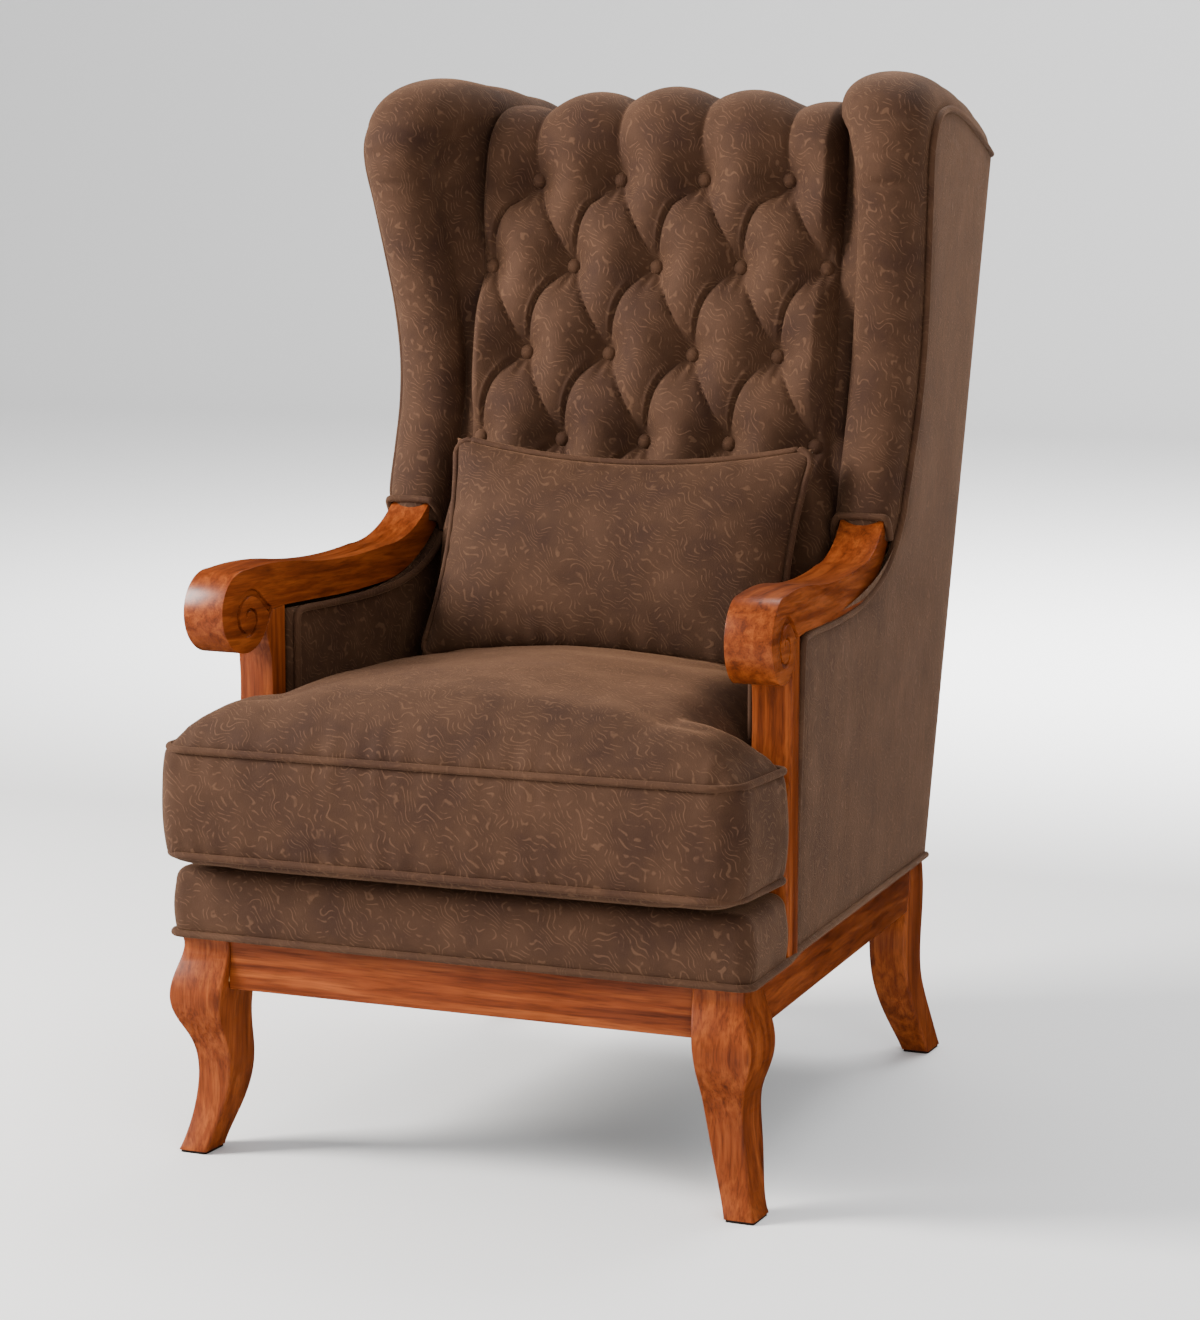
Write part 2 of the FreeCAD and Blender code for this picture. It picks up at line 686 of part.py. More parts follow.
wing_frame_right = pair("wing_frame", make_wing_frame)
wing_frames = both_sides([wing_frame_right.Shape])
top_rail = leaning_box(620, stile_depth, 50, -310, pad_rear + webbing, stile_top)
outside_slab = side_slab(-200, mm["panel_thickness"] + 20)
shaped("top_back_rail", top_rail.cut(wing_frames + both_sides([outside_slab])))

# Inside back: a leaning pad with diamond channels that run from button to button.

pitch, row_step = mm["tuft_pitch"], mm["tuft_rise"]
rows, top_row = int(mm["tuft_rows"]), mm["top_row"]
low_half = side_x(inside_y(pad_front, mm["arm_height"]), mm["arm_inside"] + mm["arm_pad_proud"]) + 6
crest = mm["back_top"] / math.cos(math.radians(mm["tuft_lean"])) - 8
pad_low = mm["deck_top"] + 12


def buttons():
    """Across and up places of every button, alternate rows shifted by half a pitch."""
    return [((k - (count - 1) / 2) * pitch, top_row - row * row_step)
            for row in range(rows) for count in [4 + row % 2] for k in range(count)]


def channel(start, end, half=40, depth=22):
    """A V-shaped cutter along the pad's face between two places."""
    along = end - start
    length = along.Length
    shape = Part.Face(Part.makePolygon([
        Vector(0, -half, -2), Vector(0, half, -2), Vector(0, 0, depth), Vector(0, -half, -2)]))
    shape = shape.extrude(Vector(length, 0, 0))
    turn = math.degrees(math.atan2(along.z, along.x))
    stand = Placement(Vector(), Rotation(Vector(1, 0, 0), -90))
    shape.Placement = Placement(start, Rotation(Vector(0, 1, 0), -turn)).multiply(stand)
    return shape


def tuft_channels():
    """Diagonals both ways across the button grid, and pleats over the top."""
    cutters = []
    span = 2 * pitch
    for sense in (1, -1):
        for line in range(-7, 5, 2):
            start_x = line * pitch / 2
            on = [row for row in range(rows) if abs(start_x + row * pitch / 2) <= span + 1]
            if len(on) > 1:
                ends = [Vector(sense * (start_x + row * pitch / 2), pad_front, top_row - row * row_step)
                        for row in (on[0], on[-1])]
                cutters.append(channel(*ends))
    for x, up in buttons():
        if up == top_row:
            cutters.append(channel(Vector(x, pad_front, up), Vector(x, pad_front, crest + 20), 34, 14))
        if up == top_row - (rows - 1) * row_step:
            cutters.append(channel(Vector(x, pad_front, up - 110), Vector(x, pad_front, up), 34, 14))
    return cutters


def dimple(x, up):
    reach = mm["tuft_depth"]
    return Part.makeCone(34, mm["button_diameter"] / 2 + 1, reach + 1, Vector(x, pad_front - 1, up),
                         Vector(0, 1, 0))


pad_profile = upright(flat(
    (pad_front, pad_low), (pad_front, crest - 58),
    ((pad_front + 14, crest - 18), (pad_front + 52, crest)), (pad_rear, crest), (pad_rear, pad_low)),
    -low_half - 20)
pad_block = face(pad_profile).extrude(Vector(2 * low_half + 40, 0, 0))
arch_low = crest - mm["back_arch"]
pad_front_view = [Vector(-low_half, 0, pad_low), Vector(low_half, 0, pad_low),
                  Vector(low_half - 4, 0, mm["arm_height"] + 20), Vector(inside_half, 0, mm["arm_height"] + 80),
                  Vector(inside_half, 0, arch_low), (Vector(0, 0, crest), Vector(-inside_half, 0, arch_low)),
                  Vector(-inside_half, 0, mm["arm_height"] + 80), Vector(4 - low_half, 0, mm["arm_height"] + 20)]
arch_prism = face(pad_front_view).extrude(Vector(0, 700, 0)).translated(Vector(0, -200, 0))
tufted = pad_block.common(arch_prism).cut(tuft_channels() + [dimple(*spot) for spot in buttons()])
tufted.Placement = inside_lean
inside_back = shaped("inside_back", tufted)


def covered_button(x, up):
    radius, base = mm["button_diameter"] / 2, -mm["button_plane"]
    stem = Part.makeCylinder(radius, 4, Vector(x, base, up), Vector(0, -1, 0))
    ball = Part.makeSphere(radius * 1.5).translated(Vector(x, base - 4 + radius * 1.118, up))
    return stem.fuse(ball.common(Part.makeCylinder(radius, 12, Vector(x, base - 4, up), Vector(0, -1, 0))))


button_group = group([covered_button(*spot).removeSplitter() for spot in buttons()])
shaped("tuft_buttons", button_group, inside_lean)

# Top of the back: from the buttoned pad to the outside back.

rear_edge = back_plane(mm["side_back_top"]) - mm["panel_thickness"] - 0.3
ridge_y, ridge_z = inside_y(pad_rear, mm["back_top"] - 12), mm["back_top"] - 12
back_crown = face(upright(flat(
    (ridge_y, ridge_z), (((ridge_y + rear_edge) / 2, ridge_z - 8), (rear_edge, mm["side_back_top"] + 12)),
    (rear_edge, mm["side_back_top"] - 20), (ridge_y - 5, ridge_z - 32)), -inside_half))
back_crown = back_crown.extrude(Vector(2 * inside_half, 0, 0)).cut([tufted, top_rail, behind_back])
shaped("back_crown", back_crown)

# Covered cord along the side: up the panel's front, under the arm, round the wing and back.

bead = mm["piping_radius"]
panel_front = mm["post_back"] + FRONT_Y + bead + 0.3


def on_side(y, z, out=0.5):
    return Vector(side_face(y, z) + out, y, z)


under_run = [Vector(panel_front + 40, arm_low - 5.5, 0), Vector(-125, arm_low - 5, 0),
             Vector(-69, arm_low - 2, 0), Vector(-30, arm_low + 5, 0), Vector(12, arm_low + 17, 0),
             Vector(44, arm_low + 33, 0), Vector(70, arm_low + 62, 0)]
wing_run = [Vector(wing_front(z) - 0.5, z, 0) for z in (690, 735, 785, 840, 900, 960, 1020, 1075)]
top_run = [Vector(84, 1106, 0), Vector(115, 1119, 0), Vector(170, mm["side_top"], 0), Vector(250, 1116, 0),
           Vector(340, 1101, 0), Vector(rear_edge - 4, mm["side_back_top"] + 2, 0)]
side_run = [Vector(panel_front, mm["rail_top"] + 12, 0), Vector(panel_front, 400, 0),
            Vector(panel_front, arm_low - 8, 0)] + under_run + wing_run + top_run
side_welt = cord([on_side(point.x, point.y) for point in side_run], bead, cap=40).cut(arm_right.Shape)
shaped("side_piping_right", side_welt)
mirrored("side_piping_left", parts["side_piping_right"])

# Outside panels, inside the side cord.


def side_prism():
    """Everything inside the side cord, pushed through the side's thickness."""
    clear = bead + mm["cord_gap"]
    low, high = mm["rail_top"] + 1 - clear, mm["side_back_top"]
    loop = side_run + [Vector(rear_edge + 30, high - 4, 0), Vector(rear_edge + 30, low, 0),
                       Vector(panel_front + 5, low, 0), Vector(panel_front, low, 0)]
    wire = smooth_path([Vector(150, point.x, point.y) for point in loop], True, 40)
    return Part.Face(wire).makeOffset2D(-clear).extrude(Vector(270, 0, 0))


def make_outside_side(label):
    plate = side_slab(0, mm["panel_thickness"]).common(side_prism())
    solid = plate.cut([arm_right.Shape, behind_back, post_right.Shape])
    return shaped(label, max(solid.Solids, key=lambda piece: piece.Volume))


outside_right = pair("outside_side", make_outside_side)

# Covered cord round the arm where it enters the wing.

collar_reach = bead + mm["cord_gap"]
collar_run = [Vector(-mm["arm_inside"] - collar_reach, collar_y + 15, collar_z - 27),
              Vector(-mm["arm_inside"] - collar_reach, collar_y - 2, collar_z + collar_reach),
              Vector(mm["arm_width"] - mm["arm_inside"] + collar_reach, collar_y - 2, collar_z + collar_reach),
              Vector(mm["arm_width"] - mm["arm_inside"] + collar_reach, collar_y + 11, collar_z - 19)]
arm_collar = cord(collar_run, bead, cap=9)
arm_collar.Placement = side_frame
arm_collar = arm_collar.cut([arm_right.Shape, tufted])
pair("arm_collar", lambda label: shaped(label, arm_collar))

# Wings: level sections with a round nose, then a dome over the top; only the padded edge is kept.

WING_THICK = ((600, 84), (760, 80), (840, 80), (960, 78), (1080, 72), (1200, 72))
TOP_STEPS = ((1104, 0, 0, 0), (1130, 6, 10, 5), (1150, 17, 30, 14), (1163, 31, 58, 27))


def thickness_at(z):
    for (z0, t0), (z1, t1) in zip(WING_THICK, WING_THICK[1:]):
        if z <= z1:
            return t0 + (t1 - t0) * (z - z0) / (z1 - z0)
    return WING_THICK[-1][1]


def wing_section(z, inward=0, back=0, inner=0, tilt=0):
    """One section of the wing pad: nose, inner roll, crease and back."""
    y0 = wing_front(min(z, 1104)) + back
    outer = side_face(y0, min(z, 1123)) - mm["panel_thickness"] - 0.3 - inward
    roll = outer - thickness_at(z) + inward + inner
    crease = inside_half + 0.3 + inner
    crease_y = inside_y(pad_front + 30, z)
    rear = back_plane(mm["side_back_top"]) - mm["panel_thickness"] - 0.3
    rear_x = side_face(rear, min(z, 1123)) - mm["panel_thickness"] - 0.3 - inward
    spots = [(outer, y0 + 2), ((outer + roll) / 2, y0 - 36 + back * 0.3), (roll, y0 + 6),
             (crease, crease_y), (crease, rear), (rear_x, rear)]
    stood = [Vector(x, y, z - tilt * (y - 120)) for x, y in spots]
    return Part.Wire([edge.toShape() for edge in edges([stood[0], (stood[1], stood[2])] + stood[3:])])


def make_wing(label):
    wires = [wing_section(z) for z in (600, 680, 760, 840, 920, 1000, 1060)]
    wires += [wing_section(z, inward, back, inner, 0.055 + 0.001 * back)
              for z, inward, back, inner in TOP_STEPS]
    whole = Part.makeLoft(wires, True)
    reach = back_plane(1130) + 40
    band = across(flat((-40, 648), (176, 648), (212, 1040), (reach, 1040), (reach, 1220), (-40, 1220)), 100)
    beyond = Part.makeBox(900, 200, 1400, Vector(-100, rear_edge, 0))
    solid = whole.common(band)
    for tool in (outside_right.Shape, behind_back, beyond, tufted, back_crown,
                 wing_frame_right.Shape, arm_right.Shape, rear_post_right.Shape, rear_rail, top_rail,
                 side_welt, arm_collar):
        solid = solid.cut(tool)
    return shaped(label, max(solid.Solids, key=lambda piece: piece.Volume))


wing_right = pair("wing", make_wing)

# Outside panels and the inside of the arms.


def underside_points(drop):
    """The arm's underside as side-view points, front to back, from the post on."""
    line = flat(*arm_underside(drop))[2:]
    shift = Vector(FRONT_Y, 0, 0)
    return [tuple(point + shift for point in step) if isinstance(step, tuple) else step + shift
            for step in line]


lean_back = Placement(Vector(0, mm["frame_back"], mm["rail_top"]),
                      Rotation(Vector(1, 0, 0), -mm["back_lean"]).multiply(Rotation(Vector(1, 0, 0), 90)))
back_rise = (mm["side_back_top"] - mm["rail_top"]) / math.cos(math.radians(mm["back_lean"]))
low_x, high_x = mm["back_half_width"], back_half(mm["side_back_top"])
outside_back_outline = flat(
    (-low_x, 1), (low_x, 1), (high_x, back_rise), ((0, back_rise + 14), (-high_x, back_rise)))
keep("outside_back", padded_body("outside_back_body", "XY_Plane", outside_back_outline,
                                 "Sizes.panel_thickness", lean_back))

arm_pad_in = mm["arm_inside"] + mm["arm_pad_proud"]


def arm_welt():
    """Cord round the inside arm's cover, under the arm."""
    inset = -arm_pad_in + 2
    run = [Vector(inset, mm["post_back"] + bead + 0.3, high_seam + 14),
           Vector(inset, mm["post_back"] + bead + 0.3, arm_low - 6)]
    run += [Vector(inset, point.x - FRONT_Y, point.y) for point in under_run[:-1]]
    tube = cord(run, bead, cap=30)
    tube.Placement = side_frame
    return tube.cut([arm_right.Shape, tufted])


inside_arm_cord = arm_welt()
pair("inside_arm_piping", lambda label: shaped(label, inside_arm_cord))


def make_inside_arm(label):
    start = mm["post_back"] + 0.3
    under = [tuple(point - Vector(FRONT_Y, 0, 0) for point in step) if isinstance(step, tuple)
             else step - Vector(FRONT_Y, 0, 0) for step in underside_points(1)]
    end_y = collar_y + 66
    outline = [Vector(start, spring_top + 34, 0), Vector(start, arm_low - 1, 0), *under,
               Vector(collar_y + 21, 648, 0), Vector(end_y, 648, 0), Vector(end_y, spring_top + 34, 0)]
    blank = face(upright(outline, -arm_pad_in)).extrude(Vector(mm["arm_pad_thickness"], 0, 0))
    blank.Placement = side_frame
    solid = blank.cut([arm_right.Shape, tufted, wing_right.Shape, wing_frame_right.Shape, inside_arm_cord,
                       arm_collar])
    return shaped(label, max(solid.Solids, key=lambda piece: piece.Volume))


pair("inside_arm", make_inside_arm)


def make_arm_rail(label):
    """The inner rail that the arm's covers are tacked to."""
    start = mm["post_back"] + 0.3
    bar = Part.makeBox(mm["arm_inside"] - 16, collar_y + 60 - start, 34,
                       Vector(-mm["arm_inside"], start, spring_top))
    bar.Placement = side_frame
    return shaped(label, bar)


pair("arm_rail", make_arm_rail)

# Upholstered deck: a skin with the springs inside, and the sheet under the seat.


def deck_plan(inset, rear_extra=0):
    """Plan of the deck: full width before the posts, then between the arm pads."""
    front = FRONT_Y - mm["deck_proud"] + inset
    step_y = FRONT_Y + 112 - inset
    rear = back_spring_y - 0.3 + rear_extra
    right = [(side_x(front, inset - 4), front), (side_x(step_y, inset - 4), step_y),
             (side_x(step_y, arm_pad_in + 0.3 + inset), step_y),
             (side_x(rear, arm_pad_in + 0.3 + inset), rear)]
    return [Vector(x, y, 0) for x, y in right] + [Vector(-x, y, 0) for x, y in reversed(right)]


def make_deck():
    floor_z = mm["rail_top"]
    block = face(deck_plan(0)).extrude(Vector(0, 0, mm["deck_top"] - floor_z))
    block.translate(Vector(0, 0, floor_z))
    corners = [edge for edge in block.Edges if edge.BoundBox.ZLength > 1 and edge.BoundBox.YMin < FRONT_Y]
    block = block.makeFillet(14, corners)
    rim = [edge for edge in block.Edges if edge.BoundBox.ZMin > mm["deck_top"] - 1
           and edge.BoundBox.YMax < FRONT_Y + 60]
    block = block.makeFillet(8, rim)
    cavity = face(deck_plan(skin, 60)).extrude(Vector(0, 0, mm["deck_top"] - mm["deck_pad"] - floor_z + 20))
    cavity.translate(Vector(0, 0, floor_z - 20))
    return shaped("deck", block.cut(cavity))


make_deck()
cover_plan = [Vector(side_x(FRONT_Y + 12, 12), FRONT_Y + 12, 0),
              Vector(side_x(mm["frame_back"] - 12, 12), mm["frame_back"] - 12, 0)]
cover_plan += [Vector(-point.x, point.y, 0) for point in reversed(cover_plan)]
dust_cover = face(cover_plan).extrude(Vector(0, 0, 1.2)).translated(Vector(0, 0, rail_low - 1.2))
shaped("dust_cover", dust_cover.cut(both_sides([front_leg_shape, back_leg_shape])))

# Loose T-shaped seat cushion: a crowned body and two ears, cut to one plan with rounded corners.

gap = mm["soft_gap"]
cushion_back_y = inside_y(pad_front, pad_low + 6) - bead - gap
ear_back_y = FRONT_Y + 115 - bead - 8
BODY_STATIONS = ((0, 0.05), (0.045, 0.42), (0.14, 0.75), (0.3, 0.95), (0.5, 1.0),
                 (0.7, 0.98), (0.86, 0.86), (0.955, 0.6), (1, 0.1))
EAR_STATIONS = ((0, 0.05), (0.1, 0.3), (0.3, 0.5), (0.6, 0.58), (0.88, 0.45), (1, 0.1))


def body_half(y):
    return side_x(y, arm_pad_in + gap + bead)


def cushion_section(y, half, share, inset):
    """One section across the cushion: crown, bulging sides and belly."""
    w, rise = half - inset, mm["cushion_crown"] * share
    top, low = high_seam - inset, low_seam + inset
    floor_z = mm["deck_top"] + gap + inset + (1 - min(1, 1.6 * share)) * (low - mm["deck_top"] - 4)

    def at(x, z):
        return Vector(x, y, z)

    belly = low - 0.62 * (low - floor_z)
    spots = [at(-w, top), (at(-0.82 * w, top + 0.55 * rise), at(-0.5 * w, top + 0.87 * rise)),
             (at(0, top + rise), at(0.5 * w, top + 0.87 * rise)), (at(0.82 * w, top + 0.55 * rise), at(w, top)),
             (at(w + 3.5, (top + low) / 2), at(w, low)), (at(0.95 * w, belly), at(0.86 * w, floor_z)),
             at(-0.86 * w, floor_z), (at(-0.95 * w, belly), at(-w, low))]
    made = edges(spots, closed=False)
    made.append(Part.Arc(at(-w, low), at(-w - 3.5, (top + low) / 2), at(-w, top)))
    return Part.Wire([edge.toShape() for edge in made])


def cushion_loft(stations, start, end, half_at, inset):
    start, end = start + inset, end - inset
    wires = [cushion_section(start + share_y * (end - start), half_at(start + share_y * (end - start)),
                             share, inset) for share_y, share in stations]
    return Part.makeLoft(wires, True)


def t_plan(z, outset=0):
    """Corners of the cushion's T, at a height."""
    ear = ear_half + outset
    neck_y = ear_back_y + outset
    right = [(ear - 4, cushion_front_y - outset), (ear, neck_y), (body_half(neck_y) + outset, neck_y),
             (body_half(cushion_back_y) + outset, cushion_back_y + outset)]
    return [Vector(x, y, z) for x, y in right] + [Vector(-x, y, z) for x, y in reversed(right)]


def seat_cushion(inset):
    body = cushion_loft(BODY_STATIONS, cushion_front_y, cushion_back_y, body_half, inset)
    ears = cushion_loft(EAR_STATIONS, cushion_front_y, ear_back_y, lambda y: ear_half, inset)
    floor_z = mm["deck_top"] + gap + inset
    plan = Part.Face(smooth_path(t_plan(floor_z, 3.5 - inset), True, mm["cushion_corner"]))
    return body.fuse(ears).common(plan.extrude(Vector(0, 0, 500)))


def seat_cords(radius):
    return [cord(t_plan(z), radius, True, mm["cushion_corner"])
            for z in (low_seam, high_seam)]


cushion_outer = seat_cushion(0)
cushion_wall = mm["cover_wall"] + bead
shaped("seat_cushion_cover", cushion_outer.cut([seat_cushion(cushion_wall)] + seat_cords(bead + 0.15)))
shaped("seat_cushion_core", seat_cushion(cushion_wall + mm["core_gap"]))
shaped("seat_cushion_piping", group(seat_cords(bead)))

# Lumbar pillow, made flat on its own centre and then leaned and set down on the cushion.

PILLOW_STATIONS = (-1, -0.94, -0.78, -0.45, 0, 0.45, 0.78, 0.94, 1)


def pillow_body(inset):
    half_w, half_h = mm["pillow_width"] / 2 - inset, mm["pillow_height"] / 2 - inset
    deep, draw = mm["pillow_thickness"] / 2 - inset, mm["pillow_draw"]
    wires = []
    for u in PILLOW_STATIONS:
        belly = max(deep * (1 - abs(u) ** 3) ** 0.6, 3)
        top = half_h - draw * (1 - u * u)
        low, high = Vector(u * half_w, 0, -top + 6 * (u * u - 1)), Vector(u * half_w, 0, top)
        middle = (low + high) / 2
        wires.append(Part.Wire([
            Part.Arc(low, middle - Vector(0, belly, 0), high).toShape(),
            Part.Arc(high, middle + Vector(0, belly, 0), low).toShape()]))
    body = Part.makeLoft(wires, True)
    side = draw * 0.55
    waists = [Part.Face(Part.Wire([edge.toShape() for edge in edges([
        Vector(s * (half_w + 20), -100, -half_h - 20), Vector(s * (half_w + 20), -100, half_h + 20),
        Vector(s * half_w, -100, half_h),
        (Vector(s * (half_w - side), -100, 0), Vector(s * half_w, -100, -half_h))])]))
        .extrude(Vector(0, 200, 0)) for s in (-1, 1)]
    return body.cut(waists)


def pillow_cord():
    half_w, half_h, draw = mm["pillow_width"] / 2, mm["pillow_height"] / 2, mm["pillow_draw"]
    half_w, half_h = half_w + 2.5, half_h + 2.5
    points = []
    for u in (-1, -0.66, -0.33, 0, 0.33, 0.66):
        points.append(Vector(u * half_w, 0, half_h - draw * (1 - u * u)))
    for v in (-1, -0.5, 0, 0.5):
        points.append(Vector(half_w - draw * 0.55 * (1 - v * v), 0, -v * half_h))
    for u in (-1, -0.66, -0.33, 0, 0.33, 0.66):
        points.append(Vector(-u * half_w, 0, -half_h + (draw - 6) * (1 - u * u)))
    for v in (-1, -0.5, 0, 0.5):
        points.append(Vector(-half_w + draw * 0.55 * (1 - v * v), 0, v * half_h))
    return cord(points, bead, True, 16)


pillow_outer = pillow_body(0)
pillow_room = pillow_body(mm["cover_wall"] + 1)
welt = pillow_cord().cut(pillow_outer)
pillow_place = Placement(Vector(8, -20, high_seam + 190), Rotation(Vector(1, 0, 0), -mm["pillow_lean"]))
seated = pillow_outer.fuse(welt)
seated.Placement = pillow_place
for attempt in range(6):
    spare = seated.distToShape(cushion_outer)[0] - gap
    if spare < 0.05:
        break
    pillow_place = Placement(pillow_place.Base - Vector(0, 0, spare), pillow_place.Rotation)
    seated.Placement = pillow_place
print("pillow centre", pillow_place.Base, "to the back", seated.distToShape(tufted)[0])
shaped("pillow_cover", pillow_outer.cut(pillow_room), pillow_place)
shaped("pillow_filling", pillow_body(mm["cover_wall"] + 1 + mm["core_gap"]), pillow_place)
shaped("pillow_piping", welt, pillow_place)

# Covered cord along the deck.

deck_low = mm["rail_top"] + bead
deck_edge = mm["deck_proud"] + bead
front_welt = [Vector(side_x(FRONT_Y + 108, -4 - bead - 0.3), FRONT_Y + 108, deck_low),
              Vector(side_x(FRONT_Y - deck_edge, -4 - bead - 0.3), FRONT_Y - deck_edge - 0.3, deck_low)]
front_welt += [Vector(-point.x, point.y, point.z) for point in reversed(front_welt)]
shaped("deck_piping", cord(front_welt, bead, cap=18))

doc.recompute()
front_reach = cushion_front_y - bead
back_reach = parts["outside_back"].Shape.optimalBoundingBox().YMax
centred = Vector(0, -(front_reach + back_reach) / 2, 0)
os.makedirs("parts", exist_ok=True)
for name, thing in parts.items():
    shape = thing.Shape
    if {"Invalid", "Error"} & set(thing.State) or shape.isNull() or not shape.isValid():
        raise RuntimeError(name + " failed")
    shape.translated(centred).exportStep("parts/" + name + ".step")
print("moved back by", round(centred.y, 3), "front to back", round(back_reach - front_reach, 2))
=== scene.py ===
import bpy
import math
import numpy as np
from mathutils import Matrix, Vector, noise


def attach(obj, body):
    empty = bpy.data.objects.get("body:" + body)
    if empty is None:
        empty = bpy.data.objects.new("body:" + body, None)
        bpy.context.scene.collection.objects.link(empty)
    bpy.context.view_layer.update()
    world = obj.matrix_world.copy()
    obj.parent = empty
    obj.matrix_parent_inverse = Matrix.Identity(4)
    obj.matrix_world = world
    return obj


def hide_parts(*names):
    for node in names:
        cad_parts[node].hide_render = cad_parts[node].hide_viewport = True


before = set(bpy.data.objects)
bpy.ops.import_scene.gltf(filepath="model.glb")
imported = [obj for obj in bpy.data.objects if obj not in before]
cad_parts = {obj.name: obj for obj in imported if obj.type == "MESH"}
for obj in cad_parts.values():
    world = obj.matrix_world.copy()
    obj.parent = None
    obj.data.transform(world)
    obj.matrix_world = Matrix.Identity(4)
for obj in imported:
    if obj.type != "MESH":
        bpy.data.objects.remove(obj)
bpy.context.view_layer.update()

print("frame loaded:", len(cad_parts), "nodes")

# Sizes below are in millimetres on the chair's drawing, whose middle lies a little behind the
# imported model's. toScene turns them into the scene's metres.
chair = {
    "middleY": 6.28,
    "frontHalf": 325.0, "backHalf": 272.5, "front": -425.0, "back": 306.0,
    "railTop": 243.0, "backLean": 9.8, "backFlare": 1.75,
    "pipe": 4.0,            # radius of every cord
}
taper = (chair["frontHalf"] - chair["backHalf"]) / (chair["back"] - chair["front"])
leanTan = math.tan(math.radians(chair["backLean"]))
flareTan = math.tan(math.radians(chair["backFlare"]))
sides = (("right", 1), ("left", -1))

# How fast the side widens towards the front, at four heights.
slopeHeights = (243, 584, 680, 1123)
slopes = (taper, taper - 0.008, taper + 0.034, taper + 0.061)


def toScene(x, y, z):
    return Vector((x, y + chair["middleY"], z)) * 0.001


def backPlane(z):
    return chair["back"] + leanTan * (z - chair["railTop"])


def backHalf(z):
    return chair["backHalf"] + flareTan * (z - chair["railTop"])


# Half the width: of the upholstered side at a place on it, and of the seat frame in plan.
def sideFace(y, z):
    return backHalf(z) + np.interp(z, slopeHeights, slopes) * (backPlane(z) - y)


def sideX(y, inset=0.0):
    return chair["frontHalf"] - (y - chair["front"]) * taper - inset


def mirrored(right):
    return right + [(-x, y, z) for x, y, z in reversed(right)]


def smoothStep(share):
    share = np.clip(share, 0, 1)
    return share * share * (3 - 2 * share)


# How far a stretched cover stands out at some distance from its edge.
def crowned(edge, height, run):
    return height * (1 - np.exp(-(np.clip(edge, 0, 999) / run) ** 1.2))


def waved(x, y, z, size, seed):
    return noise.noise(Vector((x / size + seed, y / size, z / size)))


# Count places, evenly spaced, on the straight runs between the points.
def evenLine(points, count, closed=False):
    dense = np.array(list(points) + ([points[0]] if closed else []), float)
    steps = np.r_[0, np.cumsum(np.linalg.norm(np.diff(dense, axis=0), axis=1))]
    at = np.linspace(0, steps[-1], count, endpoint=not closed)
    return np.stack([np.interp(at, steps, dense[:, k]) for k in range(dense.shape[1])], axis=1)


# The same on a smooth line through the points.
def smoothLine(points, count, closed=False, spanSteps=24):
    pts = [np.array(p, float) for p in points]
    n = len(pts)
    dense = []
    for i in range(n if closed else n - 1):
        if closed:
            p0, p1, p2, p3 = pts[i - 1], pts[i], pts[(i + 1) % n], pts[(i + 2) % n]
        else:
            p0, p1, p2, p3 = pts[max(i - 1, 0)], pts[i], pts[i + 1], pts[min(i + 2, n - 1)]
        for k in range(spanSteps):
            t = k / spanSteps
            dense.append(0.5 * (2 * p1 + (p2 - p0) * t + (2 * p0 - 5 * p1 + 4 * p2 - p3) * t * t
                                + (3 * p1 - p0 - 3 * p2 + p3) * t ** 3))
    return evenLine(dense if closed else dense + [pts[-1]], count, closed)


# Corners of a plan, each rounded with its own radius, as a dense run of places.
def roundedCorners(corners, radii, closed, turns=7):
    out = []
    n = len(corners)
    for i in range(n):
        here = Vector(corners[i])
        if (not closed and i in (0, n - 1)) or radii[i] == 0:
            out.append(tuple(here))
            continue
        before = (Vector(corners[i - 1]) - here).normalized()
        after = (Vector(corners[(i + 1) % n]) - here).normalized()
        half = before.angle(after) / 2
        reach = radii[i] / math.tan(half)
        middle = here + (before + after).normalized() * radii[i] / math.sin(half)
        a, b = here + before * reach - middle, here + after * reach - middle
        sweep = a.angle(b)
        for k in range(turns + 1):
            t = k / turns
            arm = (a * math.sin((1 - t) * sweep) + b * math.sin(t * sweep)) / math.sin(sweep)
            out.append(tuple(middle + arm))
    return out


# How far each place lies from a line, and how far along the line that is.
def nearLine(line, x, y):
    best, along = np.full(x.shape, 1e9), np.zeros(x.shape)
    step = 0.0
    for (x0, y0), (x1, y1) in zip(line, line[1:]):
        long = math.hypot(x1 - x0, y1 - y0) + 1e-9
        t = np.clip(((x - x0) * (x1 - x0) + (y - y0) * (y1 - y0)) / long ** 2, 0, 1)
        far = np.hypot(x - x0 - t * (x1 - x0), y - y0 - t * (y1 - y0))
        closer = far < best
        best = np.where(closer, far, best)
        along = np.where(closer, step + t * long, along)
        step += long
    return best, along


# Every column of a table, read at shares of its length.
def readAt(table, share):
    steps = np.linspace(0, 1, len(table))
    return [np.interp(share, steps, column) for column in table.T]


# Unit vectors square to a line, to the left of its run.
def squareTo(line):
    tangent = np.gradient(line, axis=0)
    tangent /= np.linalg.norm(tangent, axis=1)[:, None]
    return np.stack([-tangent[:, 1], tangent[:, 0]], axis=1)


# Materials. Colours are screen hex values.
def hexToLinear(code):
    parts = [int(code[i:i + 2], 16) / 255 for i in (0, 2, 4)]
    return tuple(v / 12.92 if v <= 0.04045 else ((v + 0.055) / 1.055) ** 2.4
                 for v in parts) + (1,)


# Sets a node's values, and links its sockets to others, or to the first output of other nodes.
def setNode(mat, node, sets=None, links=None):
    for key, value in (sets or {}).items():
        if isinstance(key, int) or key in node.inputs:
            node.inputs[key].default_value = value
        else:
            setattr(node, key, value)
    for key, source in (links or {}).items():
        socket = source.outputs[0] if hasattr(source, "outputs") else source
        mat.node_tree.links.new(socket, node.inputs[key])
    return node


